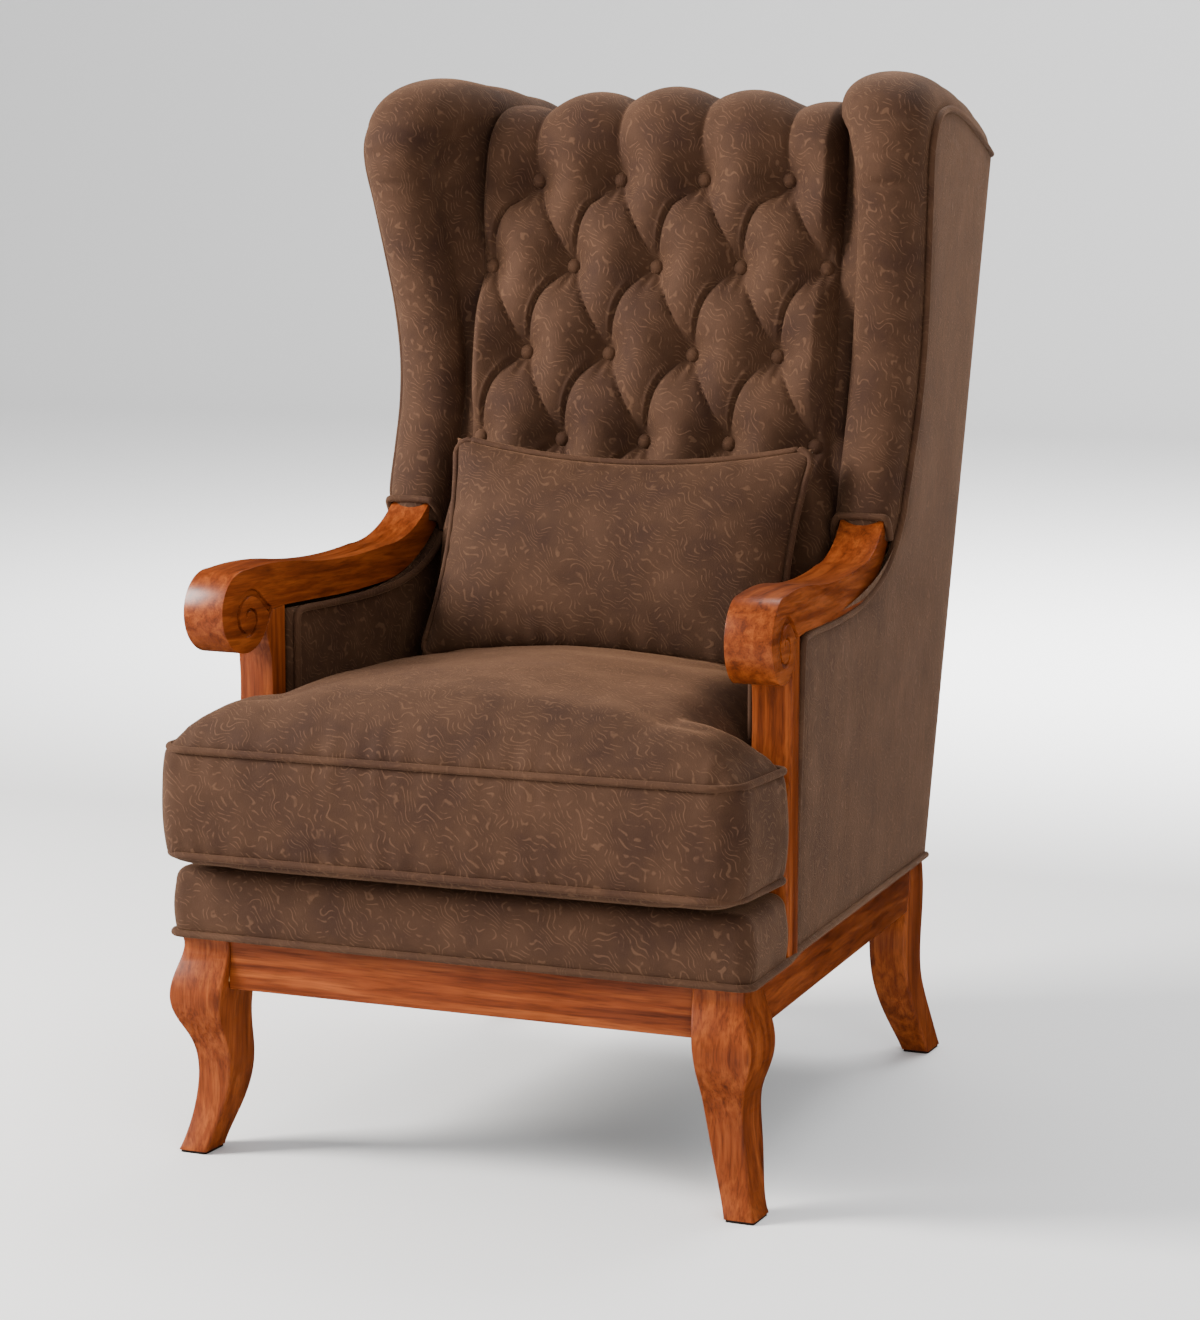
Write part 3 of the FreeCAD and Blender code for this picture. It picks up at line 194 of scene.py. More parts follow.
# Adds a node with its settings and links. Stops are a ramp's places, each a grey or a hex colour.
def addNode(mat, kind, sets=None, links=None, stops=()):
    node = mat.node_tree.nodes.new("ShaderNode" + kind)
    if stops:
        ends = node.color_ramp.elements
        while len(ends) < len(stops):
            ends.new(0.5)
        for end, (place, colour) in zip(ends, stops):
            end.position = place
            isHex = isinstance(colour, str)
            end.color = hexToLinear(colour) if isHex else (colour, colour, colour, 1)
    return setNode(mat, node, sets, links)


def newMaterial(name, base):
    mat = bpy.data.materials.new(name)
    mat.use_nodes = True
    mat.node_tree.nodes.clear()
    mat.diffuse_color = hexToLinear(base)
    shader = addNode(mat, "BsdfPrincipled", {"Base Color": hexToLinear(base)})
    addNode(mat, "OutputMaterial", links={"Surface": shader})
    return mat, shader


multiplied = {"data_type": "RGBA", "blend_type": "MULTIPLY"}

# Cotton velvet with a pressed scroll figure: short soft pile, so its edges glow and its nap shades
# in patches; the figure lies a little lighter than the ground.
velvetLook = {
    "ground": "40291a", "dark": "352015", "brushed": "4b3222", "light": "7c5a42", "glow": "b28462",
    "strokeGap": 2.7,       # mm between neighbouring strokes
    "strokeLength": 9.0,    # mm, about where they break off
    "curl": 27.0,           # how far they wander
    "patchSize": 62.0,      # mm, soft patches of brushed nap
    "pileSize": 1.3,        # mm; real pile is 0.3, drawn coarser so that it shows
    "ribs": (420, 420, 26),  # to the metre: across, across and along
}
diagonalWave = 181.0        # mm between the crests of a diagonal wave of scale 1


def velvet(name, figure=0.24, streaks=0.0, tone=1.0):
    look = velvetLook
    mat, shader = newMaterial(name, look["ground"])
    place = addNode(mat, "TexCoord").outputs["Object"]
    curls = addNode(mat, "TexWave", {
        "bands_direction": "DIAGONAL", "Scale": diagonalWave / look["strokeGap"],
        "Distortion": look["curl"], "Detail": 1.0, "Detail Scale": 0.5, "Detail Roughness": 0.5,
    }, {"Vector": place})
    line = addNode(mat, "ValToRGB", links={"Fac": curls.outputs["Fac"]},
                   stops=((0.78, 0.0), (0.95, 1.0)))
    gaps = addNode(mat, "TexNoise", {"Scale": 1000 / look["strokeLength"], "Detail": 1.0},
                   {"Vector": place})
    broken = addNode(mat, "ValToRGB", links={"Fac": gaps}, stops=((0.44, 0.0), (0.56, 1.0)))
    stroke = addNode(mat, "Math", {"operation": "MULTIPLY"}, {0: line, 1: broken})
    strokeShare = addNode(mat, "Math", {"operation": "MULTIPLY", 1: figure}, {0: stroke})
    patches = addNode(mat, "TexNoise", {"Scale": 1000 / look["patchSize"], "Detail": 3.0,
                                        "Roughness": 0.6}, {"Vector": place})
    body = addNode(mat, "ValToRGB", links={"Fac": patches},
                   stops=((0.30, look["dark"]), (0.52, look["ground"]), (0.78, look["brushed"])))
    if streaks:
        long = addNode(mat, "Mapping", {"Scale": look["ribs"]}, {"Vector": place})
        rib = addNode(mat, "TexNoise", {"Scale": 1.0, "Detail": 3.0}, {"Vector": long})
        ribShade = addNode(mat, "ValToRGB", links={"Fac": rib}, stops=((0.33, 0.62), (0.66, 1.3)))
        body = addNode(mat, "Mix", {**multiplied, 0: streaks}, {6: body, 7: ribShade}).outputs[2]
    if tone != 1.0:
        body = addNode(mat, "Mix", {**multiplied, 0: 1.0, 7: (tone, tone, tone, 1)},
                       {6: body}).outputs[2]
    coloured = addNode(mat, "Mix", {"data_type": "RGBA", 7: hexToLinear(look["light"])},
                       {0: strokeShare, 6: body})
    pile = addNode(mat, "TexNoise", {"Scale": 1000 / look["pileSize"], "Detail": 2.0},
                   {"Vector": place})
    relief = addNode(mat, "Math", {"operation": "MULTIPLY_ADD", 1: 0.55},
                     {0: stroke, 2: pile})
    bump = addNode(mat, "Bump", {"Strength": 0.42, "Distance": 0.0011}, {"Height": relief})
    setNode(mat, shader, {
        "Roughness": 0.86, "Specular IOR Level": 0.22, "Sheen Weight": 0.38,
        "Sheen Roughness": 0.38, "Sheen Tint": hexToLinear(look["glow"]),
    }, {"Base Color": coloured.outputs[2], "Normal": bump})
    return mat


# Cherry-stained beech under satin lacquer: warm red brown with long straight grain, darker pores
# and slow light and dark bands; the lacquer gives soft, wide highlights.
woodLook = {
    "deep": "451a08", "mid": "73320f", "pale": "944a1b",
    "grainWidth": 9.1, "grainLength": 210.0,    # mm across and along a grain band
    "poreWidth": 1.8, "poreLength": 34.0,       # mm; real pores are finer, drawn coarser to show
    "rubbed": 9.0,                              # to the metre, where hands have dulled it
}


def lacqueredWood(name, axis):
    look = woodLook
    mat, shader = newMaterial(name, look["mid"])
    place = addNode(mat, "TexCoord").outputs["Object"]

    def stretched(width, length):
        return tuple(1000 / (length if i == axis else width) for i in range(3))

    bands = addNode(mat, "Mapping", {"Scale": stretched(look["grainWidth"], look["grainLength"])},
                    {"Vector": place})
    grain = addNode(mat, "TexNoise", {"Scale": 1.0, "Detail": 5.0, "Roughness": 0.62,
                                      "Distortion": 0.5}, {"Vector": bands})
    tint = addNode(mat, "ValToRGB", links={"Fac": grain},
                   stops=((0.24, look["deep"]), (0.47, look["mid"]), (0.72, look["pale"])))
    fine = addNode(mat, "Mapping", {"Scale": stretched(look["poreWidth"], look["poreLength"])},
                   {"Vector": place})
    pores = addNode(mat, "TexNoise", {"Scale": 1.0, "Detail": 3.0}, {"Vector": fine})
    poreShade = addNode(mat, "ValToRGB", links={"Fac": pores},
                        stops=((0.36, 0.70), (0.50, 1.0), (0.72, 1.09)))
    grained = addNode(mat, "Mix", {**multiplied, 0: 0.85}, {6: tint, 7: poreShade})
    rubbed = addNode(mat, "TexNoise", {"Scale": look["rubbed"], "Detail": 2.0}, {"Vector": place})
    rubbedShade = addNode(mat, "ValToRGB", links={"Fac": rubbed},
                          stops=((0.32, 0.88), (0.62, 1.08)))
    coloured = addNode(mat, "Mix", {**multiplied, 0: 0.9},
                       {6: grained.outputs[2], 7: rubbedShade})
    rough = addNode(mat, "ValToRGB", links={"Fac": rubbed}, stops=((0.3, 0.33), (0.7, 0.42)))
    bump = addNode(mat, "Bump", {"Strength": 0.10, "Distance": 0.0004}, {"Height": pores})
    setNode(mat, shader, {"Specular IOR Level": 0.28, "Coat Weight": 0.1, "Coat Roughness": 0.24},
            {"Base Color": coloured.outputs[2], "Roughness": rough, "Normal": bump})
    return mat


# Plain finishes of the pieces that hardly show: sawn wood, wire, lining, webbing, felt. Size is
# that of their flecks in mm.
def plainFinish(name, first, second, size, roughness, metallic=0.0, stretch=(1, 1, 1)):
    mat, shader = newMaterial(name, first)
    place = addNode(mat, "TexCoord").outputs["Object"]
    scaled = addNode(mat, "Mapping", {"Scale": tuple(1000 / size * s for s in stretch)},
                     {"Vector": place})
    flecks = addNode(mat, "TexNoise", {"Scale": 1.0, "Detail": 3.0}, {"Vector": scaled})
    tint = addNode(mat, "ValToRGB", links={"Fac": flecks}, stops=((0.35, first), (0.65, second)))
    bump = addNode(mat, "Bump", {"Strength": 0.2, "Distance": 0.0005}, {"Height": flecks})
    setNode(mat, shader, {"Roughness": roughness, "Metallic": metallic},
            {"Base Color": tint, "Normal": bump})
    return mat


figuredVelvet = velvet("figuredVelvet")
plainVelvet = velvet("ribbedVelvet", figure=0.16, streaks=0.75)
pipingVelvet = velvet("pipingVelvet", figure=0.1, tone=1.12)
uprightWood = lacqueredWood("cherryLacquerUpright", 2)
crossWood = lacqueredWood("cherryLacquerAcross", 0)
lengthWood = lacqueredWood("cherryLacquerLength", 1)
sawnWood = plainFinish("sawnBeech", "a5794a", "c49a68", 14, 0.75, stretch=(1, 1, 0.2))
springWire = plainFinish("springWire", "6f7274", "8e9194", 3, 0.42, metallic=1.0)
blackLining = plainFinish("blackLining", "141211", "221f1d", 1.6, 0.92)
jute = plainFinish("juteWebbing", "7c6240", "94784f", 2.2, 0.95)
darkFelt = plainFinish("darkFelt", "17110d", "261c15", 1.2, 0.95)
print("materials made")


def selectOnly(piece):
    bpy.ops.object.select_all(action="DESELECT")
    piece.select_set(True)
    bpy.context.view_layer.objects.active = piece


# Opens a piece in edit mode with all of it selected.
def openMesh(piece):
    selectOnly(piece)
    bpy.ops.object.mode_set(mode="EDIT")
    bpy.ops.mesh.select_mode(type="VERT")
    bpy.ops.mesh.select_all(action="SELECT")


def applyAll(piece):
    selectOnly(piece)
    for modifier in list(piece.modifiers):
        bpy.ops.object.modifier_apply(modifier=modifier.name)


def nodeCopy(node, name):
    piece = bpy.data.objects.new(name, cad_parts[node].data.copy())
    bpy.context.scene.collection.objects.link(piece)
    return piece


def wear(piece, material):
    piece.data.materials.clear()
    piece.data.materials.append(material)


def finishPiece(piece, material, body, nodes, angle=None):
    wear(piece, material)
    selectOnly(piece)
    if angle:
        bpy.ops.object.shade_smooth_by_angle(angle=math.radians(angle))
    else:
        bpy.ops.object.shade_smooth()
    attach(piece, body)
    if nodes:
        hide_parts(*nodes)


# Camera, light and stage, in metres. Each lamp has its place, aim, size, power and colour.
view = {"place": (1.49825, -3.46414, 1.01988), "yaw": 23.61, "down": 7.77, "lens": 91.4}
lamps = {
    "keySoftbox": ((-3.0, -1.75, 2.25), (0, 0, 0.7), (1.4, 1.7), 350.0, (1.0, 0.965, 0.92)),
    "fillSoftbox": ((2.6, -2.8, 1.6), (0, 0, 0.55), (1.8, 2.0), 60.0, (0.95, 0.975, 1.0)),
    "topSoftbox": ((0.4, 1.6, 3.0), (0, 0.1, 0.8), (2.2, 1.4), 60.0, (1, 1, 1)),
    "wallWash": ((0.0, 2.6, 3.4), (0, 8.0, 1.5), (4.0, 1.2), 1100.0, (1, 1, 1)),
}
stage = {"wide": 24, "behind": 4, "tall": 12, "sweep": 5.0, "sky": 0.8}

turned = (math.radians(90 - view["down"]), 0, math.radians(view["yaw"]))
bpy.ops.object.camera_add(location=view["place"], rotation=turned)
camera = bpy.context.object
camera.data.lens = view["lens"]
camera.data.sensor_width = 36
camera.data.clip_end = 60
bpy.context.scene.camera = camera

for name, (place, target, size, power, colour) in lamps.items():
    aim = (Vector(target) - Vector(place)).to_track_quat("-Z", "Y").to_euler()
    bpy.ops.object.light_add(type="AREA", location=place, rotation=aim)
    lamp = bpy.context.object
    lamp.name = name
    lamp.data.shape = "RECTANGLE"
    lamp.data.size, lamp.data.size_y = size
    lamp.data.energy = power
    lamp.data.color = colour
    lamp.visible_glossy = name != "fillSoftbox"     # its reflection would whiten the wood

world = bpy.data.worlds.new("paleRoom")
bpy.context.scene.world = world
world.use_nodes = True
world.cycles_visibility.glossy = False
world.node_tree.nodes["Background"].inputs[0].default_value = (1, 1, 1, 1)
world.node_tree.nodes["Background"].inputs[1].default_value = stage["sky"]

bpy.ops.mesh.primitive_plane_add(size=stage["wide"], location=(0, stage["behind"], 0))
floor = bpy.context.object
floor.name = "paleFloor"
bpy.ops.object.mode_set(mode="EDIT")
bpy.ops.mesh.select_all(action="DESELECT")
bpy.ops.object.mode_set(mode="OBJECT")
for edge in floor.data.edges:
    edge.select = all(floor.data.vertices[i].co.y > 0 for i in edge.vertices)
bpy.ops.object.mode_set(mode="EDIT")
bpy.ops.mesh.select_mode(type="EDGE")
bpy.ops.mesh.extrude_region_move(TRANSFORM_OT_translate={"value": (0, 0, stage["tall"])})
bpy.ops.object.mode_set(mode="OBJECT")
bend = floor.modifiers.new("sweep", "BEVEL")
bend.width, bend.segments, bend.limit_method = stage["sweep"], 16, "ANGLE"
applyAll(floor)
bpy.ops.object.shade_smooth()
paper, paperShader = newMaterial("palePaper", "f4f4f4")
room = addNode(paper, "TexCoord").outputs["Object"]
dust = addNode(paper, "TexNoise", {"Scale": 0.125}, {"Vector": room})
paperTint = addNode(paper, "ValToRGB", links={"Fac": dust},
                    stops=((0.3, "fafafa"), (0.7, "fcfcfc")))
setNode(paper, paperShader, {"Roughness": 0.9}, {"Base Color": paperTint})
wear(floor, paper)
floor.visible_glossy = False
print("camera, light and floor set")

# Show wood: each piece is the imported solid, its faces merged, with its edges eased.
woodEdges = {"leg": 2.2, "rail": 1.5, "arm": 2.6, "post": 1.8, "steps": 3,
             "flatAngle": 1.0, "edgeAngle": 38, "smoothAngle": 32}


def easedWood(node, name, kind, material):
    piece = nodeCopy(node, name)
    openMesh(piece)
    bpy.ops.mesh.remove_doubles(threshold=0.00002)
    bpy.ops.mesh.dissolve_limited(angle_limit=math.radians(woodEdges["flatAngle"]))
    bpy.ops.object.mode_set(mode="OBJECT")
    ease = piece.modifiers.new("eased", "BEVEL")
    ease.width, ease.segments = woodEdges[kind] * 0.001, woodEdges["steps"]
    ease.limit_method, ease.angle_limit = "ANGLE", math.radians(woodEdges["edgeAngle"])
    ease.use_clamp_overlap = True
    applyAll(piece)
    finishPiece(piece, material, "chair_frame", [node], woodEdges["smoothAngle"])


for side, mirror in sides:
    easedWood("front_leg_" + side, "frontLeg_" + side, "leg", uprightWood)
    easedWood("back_leg_" + side, "backLeg_" + side, "leg", uprightWood)
    easedWood("side_rail_" + side, "sideRail_" + side, "rail", lengthWood)
    easedWood("arm_" + side, "arm_" + side + "_showWood", "arm", lengthWood)
    easedWood("arm_post_" + side, "armPost_" + side, "post", uprightWood)
easedWood("front_rail", "frontRail", "rail", crossWood)
easedWood("back_rail", "backRail", "rail", crossWood)
print("show wood eased")

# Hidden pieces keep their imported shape.
hiddenFinish = (
    (sawnWood, ("corner_blocks", "front_spring_rail", "side_spring_rail_right",
                "side_spring_rail_left", "back_spring_rail", "back_stile_right",
                "back_stile_left", "lower_back_rail", "rear_post_right", "rear_post_left",
                "rear_top_rail", "wing_frame_right", "wing_frame_left", "top_back_rail",
                "arm_rail_right", "arm_rail_left")),
    (springWire, ("seat_springs", "spring_clips", "leg_bolts")),
    (blackLining, ("dust_cover",)),
    (jute, ("back_webbing",)),
    (darkFelt, ("foot_glides",)),
)
for material, names in hiddenFinish:
    for name in names:
        wear(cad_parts[name], material)


# Soft pieces start as a flat grid whose points are then laid in place.
def laidGrid(name, columns, rows, place):
    bpy.ops.object.select_all(action="DESELECT")
    bpy.ops.mesh.primitive_grid_add(x_subdivisions=columns, y_subdivisions=rows, size=2)
    piece = bpy.context.object
    piece.name = name
    flat = np.empty(len(piece.data.vertices) * 3)
    piece.data.vertices.foreach_get("co", flat)
    flat = (flat.reshape(-1, 3) + 1) / 2
    setPoints(piece, place(flat[:, 0], flat[:, 1]))
    return piece


def setPoints(piece, spots):
    spots = spots.copy()
    spots[:, 1] += chair["middleY"]
    piece.data.vertices.foreach_set("co", (spots * 0.001).ravel())
    piece.data.update()


# Pulls the open edge of a soft piece back and closes it behind, then turns all faces outwards.
def closeBehind(piece, shift, merge):
    openMesh(piece)
    bpy.ops.mesh.remove_doubles(threshold=merge)
    bpy.ops.mesh.select_all(action="DESELECT")
    bpy.ops.mesh.select_non_manifold(extend=False, use_wire=False, use_multi_face=False,
                                     use_non_contiguous=False, use_verts=False)
    if shift:
        back = {"value": tuple(v * 0.001 for v in shift)}
        bpy.ops.mesh.extrude_edges_move(TRANSFORM_OT_translate=back)
    bpy.ops.mesh.edge_face_add()
    bpy.ops.mesh.select_all(action="SELECT")
    bpy.ops.mesh.normals_make_consistent(inside=False)
    bpy.ops.object.mode_set(mode="OBJECT")


# A padded piece. The grid is its columns and rows, shift is how far its edge is pulled back.
def paddedPiece(name, grid, place, material, nodes, shift=None, merge=0.0001,
                body="chair_frame"):
    piece = laidGrid(name, *grid, place)
    closeBehind(piece, shift, merge)
    finishPiece(piece, material, body, nodes)


# Inside back: one cloth over deep diamond tufts, then over the top to the outside back.
tufts = {
    "pitch": 104.2, "row": 101.0, "topRow": 1054.0, "rows": 5,
    "plane": -41.0, "lean": 10.0, "low": 335.0, "turn": 1097.0, "topRadius": 32.0,
    "half": 226.0, "lowHalf": 250.0, "edgeRun": 20.0, "edgeTuck": 9.0,
    "arch": 24.0, "rearY": 441.0, "rearZ": 1071.0, "rearRun": 130.0, "rearArch": 14.0,
    "puff": 40.0,           # how far a tuft stands out
    "between": 0.52,        # the share of that which the cloth has between tufts
    "full": 0.36,           # lower makes fuller tufts and sharper creases
    "curve": 0.14,          # how far the creases bow, in pitches
    "pit": 29.0,            # the dip round a button
    "lip": 2.4, "lipAt": 5.2, "lipWide": 1.9,                       # beside a crease
    "pleat": 1.2, "pleats": 7, "pleatAt": 20, "pleatWide": 12,      # round a button
    "flute": 0.72, "fluteRun": 330.0,       # how far the tufts flatten over the top
    "grid": (220, 430),
}
leanCos, leanSin = math.cos(math.radians(tufts["lean"])), math.sin(math.radians(tufts["lean"]))


def leaned(deep, up):
    return deep * leanCos + up * leanSin, -deep * leanSin + up * leanCos


def buttonSpots():
    spots = []
    for row in range(tufts["rows"]):
        count = 4 + row % 2
        up = tufts["topRow"] - row * tufts["row"]
        spots += [((k - (count - 1) / 2) * tufts["pitch"], up) for k in range(count)]
    return spots


# Height of the cloth at x across and s up along it. pHere and qHere are whole numbers on the
# creases that rise to the left and to the right.
def tuftHeight(x, s):
    pitch, row, top = tufts["pitch"], tufts["row"], tufts["topRow"]
    last = top - (tufts["rows"] - 1) * row
    a, b = x / pitch, (top - np.clip(s, last, top)) / row
    pHere, qHere = a + b / 2 + 0.5, a - b / 2 + 0.5
    rowShare = np.clip((top - s) / 30, 0, 1) * np.clip((s - last) / 30, 0, 1)
    pHere = pHere + tufts["curve"] * np.abs(np.sin(np.pi * qHere)) * rowShare
    sinP, sinQ = np.abs(np.sin(np.pi * pHere)), np.abs(np.sin(np.pi * qHere))
    puff = np.clip(sinP * sinQ, 0, 1) ** tufts["full"]
    fade = smoothStep((s - top) / tufts["fluteRun"])
    near = np.full(x.shape, 1e9)
    angle = np.zeros(x.shape)
    pit = np.ones(x.shape)
    for bx, bs in buttonSpots():
        far = np.hypot(x - bx, s - bs)
        pit = pit * (1 - np.exp(-(far / tufts["pit"]) ** 1.6))
        closer = far < near
        near = np.where(closer, far, near)
        angle = np.where(closer, np.arctan2(s - bs, x - bx), angle)
    flute = np.where(s > top, 1 - tufts["flute"] * fade, 1.0)   # over the top the tufts run on
    ground = tufts["between"] * pit + (1 - flute) * 0.46
    crown = (1 - tufts["between"]) * puff * flute * (0.35 + 0.65 * pit)
    height = tufts["puff"] * (ground + crown)
    under = np.clip(-np.sin(angle) + 0.35, 0, 1)
    ring = np.exp(-((near - tufts["pleatAt"]) / tufts["pleatWide"]) ** 2)
    height += tufts["pleat"] * (np.sin(angle * tufts["pleats"] + x * 0.13) * ring * under)
    offP = (pHere - np.round(pHere)) * pitch
    lip = np.exp(-((offP + tufts["lipAt"]) / tufts["lipWide"]) ** 2)
    lip = lip * np.clip((near - 16) / 22, 0, 1)
    return height + np.where((s < top) & (s > last), tufts["lip"] * lip, 0)


# The cloth's middle line seen from the side: up the face, round the top and back to the rear.
def backLine():
    plane, radius, turn = tufts["plane"], tufts["topRadius"], tufts["turn"]
    points = [leaned(plane, up) + (up,) for up in np.linspace(tufts["low"], turn, 120)]
    for k in range(1, 25):
        angle = math.pi / 2 * k / 24
        y, z = leaned(plane + radius * (1 - math.cos(angle)), turn + radius * math.sin(angle))
        points.append((y, z, turn + radius * angle))
    y0, z0, s0 = points[-1]
    y1, z1 = tufts["rearY"], tufts["rearZ"]
    ends = (y0, z0), (y0 + 80 * leanCos, z0 - 80 * leanSin), (y1 - 90, z1 + 26), (y1, z1)
    for k in range(1, 61):
        t = k / 60
        shares = ((1 - t) ** 3, 3 * (1 - t) ** 2 * t, 3 * (1 - t) * t * t, t ** 3)
        y, z = (sum(share * end[i] for share, end in zip(shares, ends)) for i in (0, 1))
        s0 += math.hypot(y - points[-1][0], z - points[-1][1])
        points.append((y, z, s0))
    return np.array(points)


backPath = backLine()
backSteps = np.r_[0, np.cumsum(np.hypot(np.diff(backPath[:, 0]), np.diff(backPath[:, 1])))]


def layBack(u, v):
    whole = backSteps[-1]
    at = v * whole
    y, z, s = (np.interp(at, backSteps, backPath[:, i]) for i in range(3))
    ahead, behind = np.minimum(at + 2, whole), np.maximum(at - 2, 0)
    dy, dz = (np.interp(ahead, backSteps, backPath[:, i])
              - np.interp(behind, backSteps, backPath[:, i]) for i in (0, 1))
    long = np.hypot(dy, dz)
    wide = np.interp(s, (640, 730), (tufts["lowHalf"], tufts["half"]))
    x = (2 * u - 1) * wide
    edge = np.clip((wide - np.abs(x)) / tufts["edgeRun"], 0, 1)
    height = tuftHeight(x, s) * (1 - (1 - edge) ** 2) - tufts["edgeTuck"] * (1 - edge) ** 3
    rear = np.clip((at - (whole - tufts["rearRun"])) / tufts["rearRun"], 0, 1)
    height = height * (1 - rear ** 1.5)
    reach = smoothStep((s - 960) / 190)
    bow = tufts["arch"] * (1 - rear) + tufts["rearArch"] * rear
    z = z - reach * bow * (x / 221) ** 2 + rear * tufts["rearArch"]
    return np.stack([x, y - dz / long * height, z + dy / long * height], axis=1)


paddedPiece("insideBack", tufts["grid"], layBack, figuredVelvet, ["inside_back", "back_crown"],
            shift=(0, 22, -16))

# Covered buttons: a dome of cloth gathered over a mould, pressed into the pad.
button = {"radius": 9.4, "rise": 7.5, "under": 0.6, "gathers": 5, "gatherDeep": 0.03,
          "deep": -43.0}
bpy.ops.object.select_all(action="DESELECT")
bpy.ops.mesh.primitive_uv_sphere_add(segments=20, ring_count=12, radius=0.001 * button["radius"])
firstButton = bpy.context.object
for point in firstButton.data.vertices:
    squeeze = button["rise"] / button["radius"]
    point.co.z *= squeeze * (1.0 if point.co.z > 0 else button["under"])
    fold = abs(math.sin(math.atan2(point.co.y, point.co.x) * button["gathers"]))
    low = 1 - abs(point.co.z) / (0.001 * button["rise"])
    rim = 1 - button["gatherDeep"] * fold * low
    point.co.x *= rim
    point.co.y *= rim
copies = []
tilt = math.radians(90 - tufts["lean"])
for number, (bx, bs) in enumerate(buttonSpots()):
    copy = bpy.data.objects.new("button" + str(number), firstButton.data.copy())
    bpy.context.scene.collection.objects.link(copy)
    seatOf = toScene(bx, *leaned(button["deep"], bs))
    for point in copy.data.vertices:
        px, py, pz = point.co
        point.co = seatOf + Vector((px, py * math.cos(tilt) - pz * math.sin(tilt),
                                    py * math.sin(tilt) + pz * math.cos(tilt)))
    copies.append(copy)
bpy.data.objects.remove(firstButton)
bpy.ops.object.select_all(action="DESELECT")
for copy in copies:
    copy.select_set(True)
bpy.context.view_layer.objects.active = copies[0]
bpy.ops.object.join()
buttons = bpy.context.object
buttons.name = "coveredButtons"
finishPiece(buttons, pipingVelvet, "chair_frame", ["tuft_buttons"])
print("inside back and buttons laid")


# Piping: a cord in its own bias strip of the same cloth.
def piping(name, points, closed, nodes, body="chair_frame"):
    curve = bpy.data.curves.new(name, "CURVE")
    curve.dimensions = "3D"
    curve.bevel_depth = chair["pipe"] * 0.001
    curve.bevel_resolution = 4
    curve.use_fill_caps = not closed
    line = curve.splines.new("POLY")
    line.points.add(len(points) - 1)
    for spot, (x, y, z) in zip(line.points, points):
        spot.co = (*toScene(x, y, z), 1)
    line.use_cyclic_u = closed
    piece = bpy.data.objects.new(name, curve)
    bpy.context.scene.collection.objects.link(piece)
    selectOnly(piece)
    bpy.ops.object.convert(target="MESH")
    piece = bpy.context.object
    openMesh(piece)
    bpy.ops.mesh.remove_doubles(threshold=0.00002)
    bpy.ops.mesh.normals_make_consistent(inside=False)
    bpy.ops.object.mode_set(mode="OBJECT")
    finishPiece(piece, pipingVelvet, body, nodes)


# Side piping: up the panel's front, under the arm, round the wing and back along the top.
sideLine = [
    (-260.7, 246), (-260.7, 330), (-260.7, 420), (-260.7, 500), (-260.7, 560), (-259, 573),
    (-248, 577.3), (-220.7, 578.8), (-170, 579), (-125, 580), (-69, 583.2), (-30, 590), (0, 598.5),
    (28, 610.5), (46, 624), (60, 641), (69, 662), (74.5, 690), (91, 735), (107, 785), (114.5, 840),
    (110, 900), (97, 960), (82, 1020), (70.5, 1062), (72, 1090), (88, 1110), (118, 1120),
    (170, 1123.5), (250, 1116), (340, 1101), (400, 1088.5), (445.5, 1077.6),
]
for side, mirror in sides:
    run = [(mirror * (sideFace(y, z) + 0.5), y, z) for y, z in smoothLine(sideLine, 420)]
    piping("sidePiping_" + side, run, False, ["side_piping_" + side])
print("side piping laid")

# Wings: a fat roll that follows the side piping and dies into the crease beside the tufts. Each
# row gives the piping's place, the crease's place (y, z), the roll's width and how far it stands
# out.
wingRows = [
    (66, 646, 74, 646, 72, 32), (74.5, 690, 80, 690, 74, 35), (91, 735, 88, 735, 76, 36),
    (107, 785, 97, 785, 78, 36), (114.5, 840, 107, 840, 79, 36), (110, 900, 117, 900, 79, 36),
    (97, 960, 128, 955, 78, 37), (82, 1020, 138, 1003, 78, 38), (70.5, 1062, 146, 1040, 82, 40),
    (72, 1090, 152, 1066, 92, 43), (88, 1110, 158, 1086, 106, 46), (118, 1120, 168, 1102, 116, 46),
    (170, 1123.5, 190, 1113, 120, 42), (250, 1116, 258, 1107, 116, 42),
    (340, 1101, 345, 1092, 106, 46), (448, 1077, 447.5, 1068, 94, 48),
]
wing = {
    "creaseX": 219.0, "inset": 3.0, "sunk": 2.0, "grid": (60, 250),
    "showing": 0.9,         # share of the grid that shows; the rest runs back behind the roll
    "rollShare": 0.74,      # share of that on the roll, before the slide to the crease
    "hiddenDeep": 26.0, "ripple": 0.9,
    "pleats": (0.497, 0.527, 0.556), "pleatWide": 0.0035, "pleatDeep": 3.4,
}
wingTable = smoothLine(wingRows, 400)


